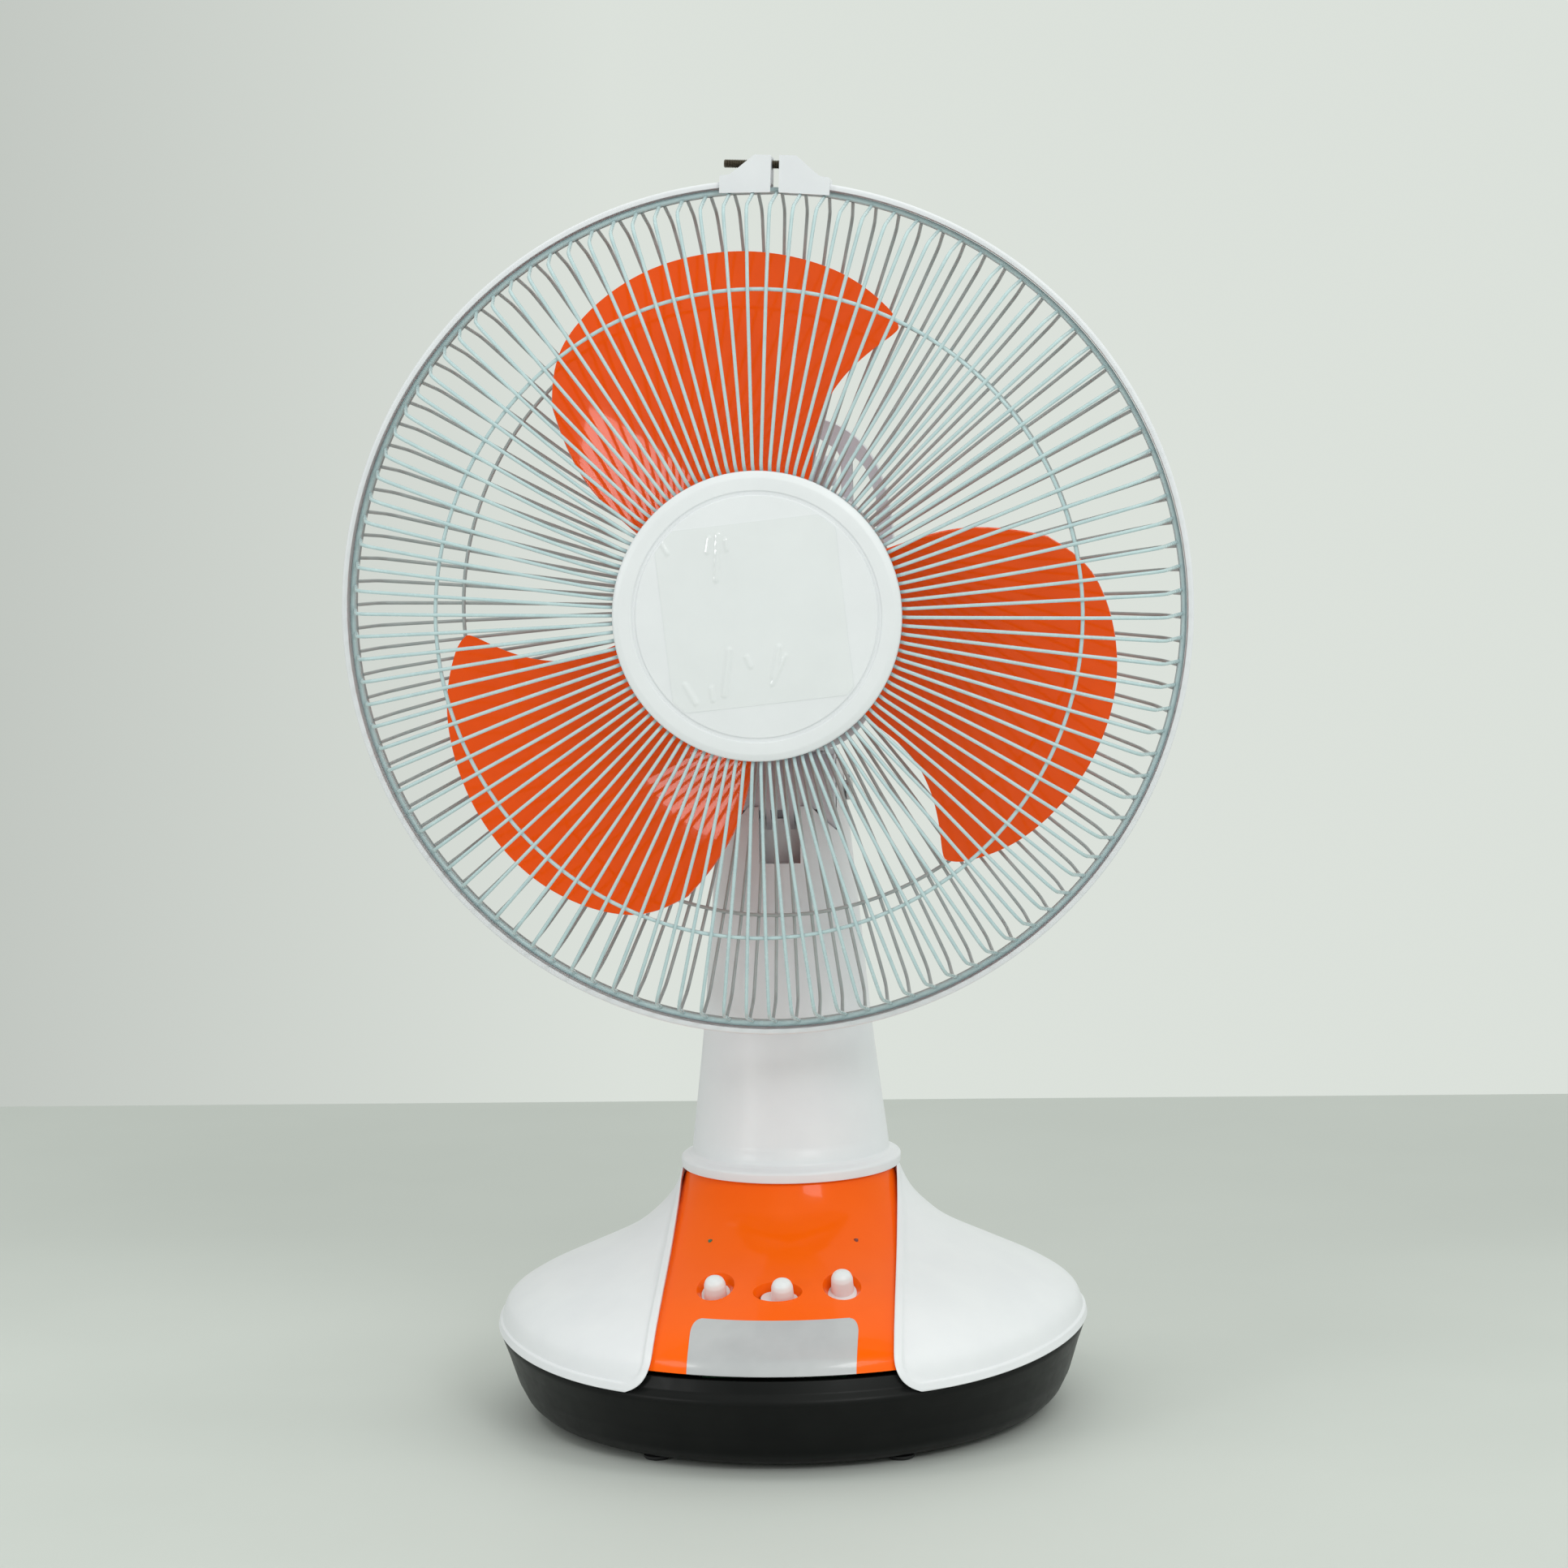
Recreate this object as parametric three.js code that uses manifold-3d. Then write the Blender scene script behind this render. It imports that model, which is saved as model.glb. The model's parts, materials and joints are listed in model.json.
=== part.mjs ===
// Rechargeable desk fan with a 12 inch three-blade impeller, a lamp in its base
// and slide switches on the front panel. Millimetres, +Z up, the front faces -Y.
// The origin is the centre of the round base, on the table.
import * as THREE from 'three';
import { mergeVertices } from 'three/addons/utils/BufferGeometryUtils.js';
import Module from 'manifold-3d';

const wasm = await Module();
wasm.setup();

// ---------------------------------------------------------------- driving dimensions
const GAP = 0.3;              // clearance between neighbouring pieces
const COLUMN_Y = 10;          // the column stands a little behind the base centre
const FAN_Z = 348;            // height of the fan axis
const TILT_Z = 268;           // height of the tilt axis
const BASE_R = 128;           // outer radius of the white base shell
const COLLAR_R = 48;          // radius of the column's flange
const COLLAR_Z = 104.4;       // underside of the flange
const SHELL_T = 2.4;           // wall of the base shell
const PANEL_DEPTH = 2.4;      // the orange panel lies this far below the shell
const PANEL_T = 2.2;
const PANEL_TOP_HALF = 46.3;  // half width of the panel opening at the flange
const PANEL_LOW_HALF = 49.4;  // and at its lower edge
const PANEL_LOW_Z = 42.5;
const LIP_Z = 33.8;           // lower edge of the base shell
const TUB_RIM_Z = 41.8;
const FOOT_H = 1.2;

const HOOP_Y = -70.7;         // plane of the guard hoop, from the column axis
const HOOP_R = 175.3;
const RIM_R = 171.3;          // centre of the guards' outer rims
const MID_R = 130;            // centre of the guards' middle rings
const GUARD_WIRES = 36;       // coarse wires; the finished guard carries 110 finer ones
const WIRE_W = 1.8;
const BADGE_R = 58.2;
const BADGE_DEPTH = 45.4;     // badge rim in front of the hoop plane
const CLAMP_CLOCKING = 2.75;  // degrees clockwise of the top, seen from the front

const BLADES = 3;
const BLADE_T = 1.8;
const BLADE_Y = -75;          // middle of the blades along the fan axis
const ROOT_PITCH = 160;       // helix pitch of the blade at the hub
const TIP_PITCH = 225;
const HUB_R = 27;
const SHAFT_R = 4;

const DRUM_R = 21.5;          // tilting neck drum
const DRUM_HALF = 23.6;
const POST_R = 5;
const LINK_PIN = new THREE.Vector2(15, 0);      // oscillation link on the neck
const CRANK_CENTRE = new THREE.Vector2(-5.5, 50);
const WORM_WHEEL = new THREE.Vector2(14, 50);
const CRANK_THROW = 8.4;
const WHEEL_TEETH = 24;
const CRANK_TEETH = 34;       // driven by a six-toothed pinion

// ---------------------------------------------------------------- materials
const material = (color, roughness, metalness = 0) =>
  new THREE.MeshStandardMaterial({ color, roughness, metalness });
const WHITE = () => material(0xe9ebec, 0.35);
const BLACK = () => material(0x161718, 0.45);
const ORANGE = () => material(0xf0591a, 0.28);
const MINT = () => material(0xb9d6d6, 0.4);
const STEEL = () => material(0xb4b7ba, 0.3, 0.9);
const BRASS = () => material(0xc09a4a, 0.35, 0.9);
const GREEN = () => material(0x2e6b43, 0.6);
const DARK = () => material(0x3a3c40, 0.5, 0.3);

// ---------------------------------------------------------------- solid helpers
function signedVolume(positions, index) {
  let total = 0;
  const [a, b, c] = [new THREE.Vector3(), new THREE.Vector3(), new THREE.Vector3()];
  for (let i = 0; i < index.length; i += 3) {
    a.fromArray(positions, index[i] * 3);
    b.fromArray(positions, index[i + 1] * 3);
    c.fromArray(positions, index[i + 2] * 3);
    total += a.dot(b.cross(c));
  }
  return total;
}

// A closed, merged geometry with its faces pointing out.
function closed(geometry) {
  const bare = geometry.clone();
  bare.deleteAttribute('normal');
  bare.deleteAttribute('uv');
  const merged = mergeVertices(bare, 1e-4);
  const all = Array.from(merged.index.array);
  const whole = (i) => all[i] !== all[i + 1] && all[i + 1] !== all[i + 2] && all[i + 2] !== all[i];
  const index = all.filter((_, k) => whole(k - (k % 3)));
  if (signedVolume(merged.attributes.position.array, index) < 0) index.reverse();
  merged.setIndex(index);
  return merged;
}

function toSolid(geometry) {
  const merged = closed(geometry);
  return new wasm.Manifold(new wasm.Mesh({
    numProp: 3,
    vertProperties: new Float32Array(merged.attributes.position.array),
    triVerts: new Uint32Array(merged.index.array),
  }));
}

function toGeometry(solid) {
  const mesh = solid.getMesh();
  const geometry = new THREE.BufferGeometry();
  geometry.setAttribute('position', new THREE.BufferAttribute(mesh.vertProperties, 3));
  geometry.setIndex(new THREE.BufferAttribute(mesh.triVerts, 1));
  return geometry;
}

function join(...parts) {
  return toGeometry(parts.map(toSolid).reduce((sum, solid) => sum.add(solid)));
}

function cut(body, ...tools) {
  return toGeometry(tools.map(toSolid).reduce((rest, tool) => rest.subtract(tool), toSolid(body)));
}

function common(a, b) {
  return toGeometry(toSolid(a).intersect(toSolid(b)));
}

// A box given by its lowest and highest corners.
function block(x0, x1, y0, y1, z0, z1) {
  const box = new THREE.BoxGeometry(x1 - x0, y1 - y0, z1 - z0);
  return box.translate((x0 + x1) / 2, (y0 + y1) / 2, (z0 + z1) / 2);
}

// A round bar along an axis, from one end to the other, through the point (u, v)
// in the two other coordinates, taken in x, y, z order.
function bar(axis, radius, from, to, u = 0, v = 0, sides = 12) {
  const rod = new THREE.CylinderGeometry(radius, radius, to - from, sides);
  const middle = (from + to) / 2;
  if (axis === 'x') return rod.rotateZ(Math.PI / 2).translate(middle, u, v);
  if (axis === 'z') return rod.rotateX(Math.PI / 2).translate(u, v, middle);
  return rod.translate(u, middle, v);
}

// A turned piece around the Y axis. The profile holds [radius, y] pairs; it starts
// and ends on the axis, or it is a loop that this closes.
function turned(profile, sides = 24) {
  const points = profile.map(([r, y]) => new THREE.Vector2(r, y));
  const last = profile[profile.length - 1];
  if (profile[0][0] > 0 || last[0] > 0) points.push(points[0].clone());
  return closed(new THREE.LatheGeometry(points, sides));
}

// The same around the Z axis, with [radius, z] pairs.
function turnedUp(profile, sides = 24) {
  return turned(profile, sides).rotateX(Math.PI / 2);
}

// An outline in X and Z, extruded along Y from y0 to y1.
function slab(points, y0, y1) {
  const shape = points instanceof THREE.Shape
    ? points
    : new THREE.Shape(points.map(([x, z]) => new THREE.Vector2(x, z)));
  const plate = new THREE.ExtrudeGeometry(shape, { depth: y1 - y0, bevelEnabled: false, curveSegments: 10 });
  return plate.rotateX(Math.PI / 2).translate(0, y1, 0);
}

// A closed skin through a loop of elliptic rings { a, b, y, z }, each level.
function ringSkin(rings, sides = 32) {
  const position = [];
  const index = [];
  const count = rings.length;
  rings.forEach(({ a, b = a, y = 0, z }) => {
    for (let j = 0; j < sides; j += 1) {
      const angle = (2 * Math.PI * j) / sides;
      position.push(a * Math.cos(angle), y + b * Math.sin(angle), z);
    }
  });
  for (let i = 0; i < count; i += 1) {
    for (let j = 0; j < sides; j += 1) {
      const p = i * sides + j;
      const q = i * sides + ((j + 1) % sides);
      const r = ((i + 1) % count) * sides + j;
      const s = ((i + 1) % count) * sides + ((j + 1) % sides);
      index.push(p, q, s, p, s, r);
    }
  }
  const geometry = new THREE.BufferGeometry();
  geometry.setAttribute('position', new THREE.Float32BufferAttribute(position, 3));
  geometry.setIndex(index);
  return closed(geometry);
}

function gearOutline(outer, depth, teeth) {
  const points = [];
  for (let i = 0; i < 2 * teeth; i += 1) {
    const angle = (Math.PI * i) / teeth;
    const radius = i % 2 ? outer - depth : outer;
    points.push(new THREE.Vector2(radius * Math.cos(angle), radius * Math.sin(angle)));
  }
  return new THREE.Shape(points);
}

// A toothed wheel around Z, between two heights.
function gear(outer, depth, teeth, z0, z1) {
  const shape = gearOutline(outer, depth, teeth);
  return new THREE.ExtrudeGeometry(shape, { depth: z1 - z0, bevelEnabled: false }).translate(0, 0, z0);
}

// ---------------------------------------------------------------- assembly helpers
const fan = new THREE.Group();
const head = new THREE.Group();
head.position.set(0, COLUMN_Y, FAN_Z);
const neck = new THREE.Group();
neck.position.set(0, COLUMN_Y, TILT_Z);
fan.add(neck, head);

function piece(name, geometry, finish, parent = fan) {
  const mesh = new THREE.Mesh(closed(geometry), finish);
  mesh.name = name;
  parent.add(mesh);
  return mesh;
}

// ---------------------------------------------------------------- base surface
// Outer profile of the base shell, from the flange down to its rim: [radius, z].
const shellCurve = new THREE.SplineCurve([
  [47.6, 104], [53, 92.5], [62, 83], [74, 74.5], [96, 63.5], [113, 54.5], [124, 45.5], [BASE_R, LIP_Z],
].map(([r, z]) => new THREE.Vector2(r, z)));

// The rings slide back as they shrink, so that the flange is round about the column.
function ringCentre(radius) {
  const share = (radius - COLLAR_R) / (BASE_R - COLLAR_R);
  return COLUMN_Y * (1 - THREE.MathUtils.clamp(share, 0, 1));
}

// The shell curve moved inwards by depth: a list of [radius, z].
function insetProfile(depth, steps) {
  const profile = [];
  for (let i = 0; i <= steps; i += 1) {
    const point = shellCurve.getPoint(i / steps);
    const along = shellCurve.getTangent(i / steps);
    profile.push([point.x + along.y * depth, point.y - along.x * depth]);
  }
  return profile;
}

// A layer of the base surface between two depths, cut level at both ends.
function baseLayer(outerDepth, innerDepth, topZ, lowZ, steps = 7) {
  const level = ([r, z]) => ({ a: r, y: ringCentre(r + outerDepth), z: THREE.MathUtils.clamp(z, lowZ, topZ) });
  const outer = insetProfile(outerDepth, steps).map(level);
  const inner = insetProfile(innerDepth, steps).map(level);
  inner[0].z = topZ;
  outer[0].z = topZ;
  outer[steps].z = lowZ;
  inner[steps].z = lowZ;
  return ringSkin([...outer, ...inner.reverse()], 40);
}

// The point of the base surface at radius r and sideways offset x, on the front.
function frontPoint(x, r, depth) {
  let u = 0;
  while (shellCurve.getPoint(u).x < r) u += 0.002;
  const point = shellCurve.getPoint(u);
  const along = shellCurve.getTangent(u);
  const y = ringCentre(r) - Math.sqrt(r * r - x * x);
  const slope = Math.atan2(-along.y, along.x);
  return { x, y: y + depth * Math.sin(slope), z: point.y - depth * Math.cos(slope), slope };
}

// Outline of the front opening, its corners flaring out below the panel.
function openingOutline(topZ, clearance) {
  const shape = new THREE.Shape();
  const top = PANEL_TOP_HALF - clearance;
  const low = PANEL_LOW_HALF - clearance;
  const flareZ = 48;
  shape.moveTo(-top, topZ);
  shape.lineTo(-low, flareZ);
  shape.quadraticCurveTo(-low - 1.5, LIP_Z, -low - 17, LIP_Z - 1);
  shape.lineTo(low + 17, LIP_Z - 1);
  shape.quadraticCurveTo(low + 1.5, LIP_Z, low, flareZ);
  shape.lineTo(top, topZ);
  return shape;
}

// ---------------------------------------------------------------- base: casings
const SWITCHES = [
  { name: 'led', x: -26.4, r: 83, rest: [0, -1.5], hole: [7, 8], plate: [5.4, 7] },
  { name: 'speed', x: 0, r: 84.5, rest: [2, 0], hole: [9.3, 5.8], plate: [9.4, 5] },
  { name: 'power', x: 26.4, r: 83, rest: [0, 2], hole: [7, 8], plate: [5.4, 7] },
];
const LAMP_X = 30.9;
const LAMP_R = 62;
const DIFFUSER_TOP_HALF = 33.2;
const DIFFUSER_LOW_HALF = 34.9;
const DIFFUSER_TOP_Z = 59;
const INLET_Z = 22;
const INLET_FACE_Y = 121.5;

function makeTub() {
  const bowl = turnedUp([
    [0, 1.5], [103, 1.5], [111, 2], [117, 6.5], [121.3, 15], [124.6, 25], [127, 33.3], [124.2, 33.4],
    [122.2, TUB_RIM_Z], [119.8, TUB_RIM_Z], [121, 30], [116, 14], [104, 6.3], [0, 6.3],
  ], 40);
  const socket = block(-10.5, 10.5, 100, 140, INLET_Z - 7.5, INLET_Z + 7.5);
  piece('base_tub', cut(bowl, socket), BLACK());
}

function makeFeet() {
  const places = { front_left: [-50.4, -89.7], front_right: [50.4, -89.7], rear_left: [-50.4, 78], rear_right: [50.4, 78] };
  Object.entries(places).forEach(([where, [x, y]]) => {
    const pad = turnedUp([[0, 0], [5, 0], [5.6, 0.6], [5.6, FOOT_H], [0, FOOT_H]], 12);
    piece(`foot_${where}`, pad, BLACK()).position.set(x, y, 0);
  });
}

function makeShell() {
  const layer = baseLayer(0, SHELL_T, COLLAR_Z - 0.4, LIP_Z);
  const opening = slab(openingOutline(COLLAR_Z + 5, 0), -150, COLUMN_Y - 14);
  piece('base_shell', cut(layer, opening), WHITE());
}

function diffuserOutline(grow) {
  const shape = new THREE.Shape();
  const top = DIFFUSER_TOP_HALF + grow;
  const low = DIFFUSER_LOW_HALF + grow;
  const topZ = DIFFUSER_TOP_Z + grow;
  shape.moveTo(-low, PANEL_LOW_Z - 10);
  shape.lineTo(low, PANEL_LOW_Z - 10);
  shape.lineTo(top, topZ - 3);
  shape.quadraticCurveTo(top, topZ, top - 5, topZ);
  shape.lineTo(-top + 5, topZ);
  shape.quadraticCurveTo(-top, topZ, -top, topZ - 3);
  return shape;
}

function switchHole({ x, r, hole }) {
  const at = frontPoint(x, r, PANEL_DEPTH);
  const tool = new THREE.CylinderGeometry(1, 1, 16, 16).rotateX(Math.PI / 2);
  return tool.scale(hole[0], hole[1], 1).rotateX(at.slope).translate(at.x, at.y, at.z);
}

function makePanel() {
  const layer = baseLayer(PANEL_DEPTH, PANEL_DEPTH + PANEL_T, COLLAR_Z - 0.4, PANEL_LOW_Z);
  const strip = common(layer, slab(openingOutline(COLLAR_Z + 5, 0.4), -150, COLUMN_Y - 14.4));
  const lampHoles = [-LAMP_X, LAMP_X].map((x) => {
    const at = frontPoint(x, LAMP_R, PANEL_DEPTH);
    return bar('z', 1.5, at.z - 12, at.z + 12, at.x, at.y, 10);
  });
  const window = slab(diffuserOutline(GAP), -150, -60);
  piece('control_panel', cut(strip, window, ...lampHoles, ...SWITCHES.map(switchHole)), ORANGE());
  const cover = common(
    baseLayer(PANEL_DEPTH + 0.1, PANEL_DEPTH + PANEL_T, COLLAR_Z - 0.4, PANEL_LOW_Z),
    slab(diffuserOutline(0), -150, -60),
  );
  piece('light_diffuser', cover, material(0xd9dde0, 0.3));
}

// ---------------------------------------------------------------- base: controls
function makeSwitches() {
  SWITCHES.forEach((item) => {
    const at = frontPoint(item.x, item.r, PANEL_DEPTH);
    const mount = new THREE.Group();
    mount.position.set(at.x, at.y, at.z);
    mount.rotation.x = at.slope;
    fan.add(mount);
    const [px, py] = item.plate;
    const plate = block(-px, px, -py, py, -4.6, -3.6);
    const peg = turnedUp([[0, -4.6], [4.1, -4.6], [4.1, 3.2], [3, 5.2], [0, 6.2]], 12);
    const lever = piece(`${item.name}_switch_lever`, join(plate, peg), WHITE(), mount);
    lever.position.set(item.rest[0], item.rest[1], 0);
    piece(`${item.name}_switch_body`, block(-9, 9, -10, 10, -13, -5.2), DARK(), mount);
  });
}

function makeLamps() {
  Object.entries({ power: -LAMP_X, charge: LAMP_X }).forEach(([name, x]) => {
    const at = frontPoint(x, LAMP_R, PANEL_DEPTH);
    const colour = name === 'power' ? 0x35b04a : 0xd03a2a;
    piece(`${name}_lamp`, bar('z', 1.1, at.z - 5, at.z + 0.4, at.x, at.y, 10), material(colour, 0.2));
  });
}

function makeElectrics() {
  const caseBlock = block(-50, 50, -20, 50, 7, 54);
  piece('battery', join(caseBlock, block(-42, -37, -16, -10, 53, 57), block(37, 42, -16, -10, 53, 57)), DARK());
  const strap = slab([
    [-64, 6.7], [-50.6, 6.7], [-50.6, 54.6], [50.6, 54.6], [50.6, 6.7], [64, 6.7],
    [64, 8.2], [52.1, 8.2], [52.1, 56.1], [-52.1, 56.1], [-52.1, 8.2], [-64, 8.2],
  ], 10, 24);
  piece('battery_strap', strap, STEEL());

  const core = block(-21, 21, 70, 86, 7, 42);
  const coils = block(-13, 13, 63, 93, 12, 37);
  piece('transformer', join(core, coils), DARK());

  const board = block(-38, 38, -72, -34, 22, 23.6);
  const parts = [
    block(-30, -16, -66, -54, 23, 32), block(-8, 6, -68, -50, 23, 27),
    bar('z', 4, 23, 36, 18, -60), bar('z', 4, 23, 36, 29, -60), block(10, 34, -48, -40, 23, 38),
  ];
  piece('control_board', join(board, ...parts), GREEN());

  const lampBoard = block(-30, 30, -98.6, -97, 36, 52);
  const lampDots = [];
  for (let i = 0; i < 6; i += 1) {
    lampDots.push(bar('y', 2.2, -103, -98, -25 + 10 * i, 45, 10));
  }
  piece('led_board', join(lampBoard, ...lampDots), GREEN());

  const inletBody = block(-10, 10, 104, INLET_FACE_Y, INLET_Z - 7, INLET_Z + 7);
  const recess = block(-8, 8, 110, INLET_FACE_Y + 2, INLET_Z - 4.5, INLET_Z + 4.5);
  const pins = [-6, 6].map((x) => bar('y', 1.2, 108, 119, x, INLET_Z, 10));
  piece('charge_inlet', join(cut(inletBody, recess), ...pins), BLACK());
}

// ---------------------------------------------------------------- column
const EAR_HALF_DEPTH = 13;
const LIP_HEIGHT = 262;      // front lip of the saddle that holds the neck drum
const COLUMN_TOP = 281;
const SLOT_HALF = 8.8;
const SLOT_LOW = 238;
const COLUMN_T = 2.6;

function makeColumn() {
  const outer = [
    { a: COLLAR_R, z: COLLAR_Z }, { a: COLLAR_R, z: 108 }, { a: 43, z: 111.4 },
    { a: 36.8, b: 34.2, z: 163 }, { a: 32.1, b: 29, z: 215 },
    { a: 27.6, b: 24.6, z: LIP_HEIGHT }, { a: 26, b: 23, z: COLUMN_TOP },
  ];
  const inner = outer.slice(3).map(({ a, b, z }) => ({ a: a - COLUMN_T, b: b - COLUMN_T, z })).reverse();
  const sleeve = ringSkin([...outer, ...inner, { a: 40, z: COLLAR_Z }].map((ring) => ({ ...ring, y: COLUMN_Y })), 28);
  const inside = DRUM_HALF + GAP;
  const cuts = [
    block(-inside, inside, -60, 60, LIP_HEIGHT, 300),
    bar('x', DRUM_R + 0.8, -inside, inside, COLUMN_Y, TILT_Z, 24),
    block(-60, 60, COLUMN_Y + EAR_HALF_DEPTH, 80, LIP_HEIGHT, 300),
    block(-60, 60, -60, COLUMN_Y - EAR_HALF_DEPTH, LIP_HEIGHT, 300),
    block(-SLOT_HALF, SLOT_HALF, -60, COLUMN_Y, SLOT_LOW, LIP_HEIGHT + 1),
    bar('x', 3.3, -60, 60, COLUMN_Y, TILT_Z, 10),
  ];
  piece('column', cut(sleeve, ...cuts), WHITE());

  const stem = bar('x', 3, -28.4, 28.4, COLUMN_Y, TILT_Z, 10);
  const heads = [-1, 1].map((side) => {
    const near = 27.6 * side;
    const far = 30.2 * side;
    return bar('x', 5.6, Math.min(near, far), Math.max(near, far), COLUMN_Y, TILT_Z, 14);
  });
  piece('tilt_pin', join(stem, ...heads), STEEL());
}

// ---------------------------------------------------------------- neck, about the tilt axis
const NECK_TOP = 15.6;       // flat top of the drum above the tilt axis

function makeNeck() {
  const drum = bar('x', DRUM_R, -DRUM_HALF, DRUM_HALF, 0, 0, 24);
  const cavity = block(-19, 19, -30, 18, -26, -7.5);
  const ribs = [-5, 5].map((x) => common(
    block(x - 1, x + 1, -19, 17, -24, -7),
    bar('x', DRUM_R - 0.4, -20, 20, 0, 0, 24),
  ));
  const body = join(cut(drum, cavity), ...ribs);
  const tools = [
    block(-30, 30, -30, 30, NECK_TOP, 40),
    bar('x', 3.3, -40, 40, 0, 0, 10),
    bar('z', POST_R + GAP, 4, 40, 0, 0, 14),
    bar('z', 2.1, 8, 40, LINK_PIN.x, LINK_PIN.y, 10),
  ];
  piece('neck_drum', cut(body, ...tools), WHITE(), neck);
  piece('swivel_post', bar('z', POST_R, 4.4, 43.6, 0, 0, 14), STEEL(), neck);
  const stem = bar('z', 1.8, 8.4, 19, LINK_PIN.x, LINK_PIN.y, 10);
  const cap = bar('z', 3.2, 18.6, 19.8, LINK_PIN.x, LINK_PIN.y, 10);
  piece('link_screw', join(stem, cap), STEEL(), neck);
}

// The link from the neck to the crank pin, level, just above the neck drum.
function crankPin() {
  const reach = CRANK_CENTRE.clone().sub(LINK_PIN).normalize();
  return CRANK_CENTRE.clone().add(new THREE.Vector2(reach.y, -reach.x).multiplyScalar(CRANK_THROW));
}

function makeLink() {
  const end = crankPin();
  const reach = end.clone().sub(LINK_PIN);
  const z0 = NECK_TOP + 0.5;
  const z1 = z0 + 2;
  const strip = block(-3, 3, 0, reach.length(), z0, z1);
  const eyes = [0, reach.length()].map((y) => bar('z', 4, z0, z1, 0, y, 12));
  const arm = cut(join(strip, ...eyes), bar('z', 2.1, z0 - 1, z1 + 1, 0, 0, 12));
  const link = piece('swing_link', arm, STEEL(), neck);
  link.position.set(LINK_PIN.x, LINK_PIN.y, 0);
  link.rotation.z = Math.atan2(reach.y, reach.x) - Math.PI / 2;
}

// ---------------------------------------------------------------- head: motor and gearbox
const HOUSING_FRONT = -31.8;
const HOUSING_SPLIT = -14;
const COVER_HALF_W = 47;
const COVER_TOP = 50;        // above the fan axis
const COVER_LOW = -58;
const CAN_R = 24;

// A rounded box section around Y: half width a, from low to top, as a polygon.
function roundedSection(a, low, top, power, count = 20) {
  const points = [];
  const middle = (low + top) / 2;
  const half = (top - low) / 2;
  const shaped = (value) => Math.sign(value) * Math.abs(value) ** (2 / power);
  for (let i = 0; i < count; i += 1) {
    const angle = (2 * Math.PI * i) / count;
    points.push([a * shaped(Math.cos(angle)), middle + half * shaped(Math.sin(angle))]);
  }
  return points;
}

// A skin through rounded sections at several y; both ends are closed flat.
function sectionSkin(sections) {
  const position = [];
  const index = [];
  const count = sections[0].points.length;
  sections.forEach(({ y, points }) => points.forEach(([x, z]) => position.push(x, y, z)));
  for (let i = 0; i + 1 < sections.length; i += 1) {
    for (let j = 0; j < count; j += 1) {
      const k = (j + 1) % count;
      const [p, q, r, s] = [i * count + j, i * count + k, (i + 1) * count + j, (i + 1) * count + k];
      index.push(p, q, s, p, s, r);
    }
  }
  const last = (sections.length - 1) * count;
  for (let j = 1; j + 1 < count; j += 1) {
    index.push(0, j + 1, j, last, last + j, last + j + 1);
  }
  const geometry = new THREE.BufferGeometry();
  geometry.setAttribute('position', new THREE.Float32BufferAttribute(position, 3));
  geometry.setIndex(index);
  return closed(geometry);
}

// The rear cover's outside, shrunk by depth, from y0 back to its domed end.
function coverBody(depth, y0) {
  const stages = [[y0, 1], [40, 1], [60, 0.9], [74, 0.68], [80, 0.42]];
  return sectionSkin(stages.map(([y, share]) => ({
    y: y > y0 ? y - depth : y,
    points: roundedSection(
      (COVER_HALF_W - depth) * share,
      COVER_LOW * share + depth,
      COVER_TOP * share - depth,
      2.5,
    ),
  })));
}

function makeHousings() {
  const plate = slab(roundedSection(46, -63, 51, 3), HOUSING_FRONT, HOUSING_SPLIT);
  const pocket = slab(roundedSection(43.4, -60.4, 48.4, 3), HOUSING_FRONT + 3, HOUSING_SPLIT + 1);
  const boss = bar('y', 20, -45, HOUSING_FRONT + 1, 0, 0, 24);
  const bearingBlock = bar('y', 11, HOUSING_FRONT + 1, HOUSING_SPLIT - 0.4, 0, 0, 14);
  const bore = bar('y', 7, -50, 0, 0, 0, 14);
  const body = cut(join(cut(plate, pocket), boss, bearingBlock), bore);
  piece('motor_front_housing', body, WHITE(), head);

  const skin = coverBody(0, HOUSING_SPLIT + GAP);
  const hollow = coverBody(2.4, HOUSING_SPLIT - 1);
  const knobHole = bar('z', 3.6, 30, 80, WORM_WHEEL.x, WORM_WHEEL.y, 16);
  const postHole = bar('z', 9.8, -80, -40, 0, 0, 16);
  const crankHole = bar('z', 4.5, -80, -40, CRANK_CENTRE.x, CRANK_CENTRE.y, 16);
  const vents = [];
  for (let i = -2; i <= 2; i += 1) {
    vents.push(block(i * 7 - 1.5, i * 7 + 1.5, 60, 100, -14, 14));
  }
  piece('motor_rear_cover', cut(skin, hollow, knobHole, postHole, crankHole, ...vents), WHITE(), head);
}

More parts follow.
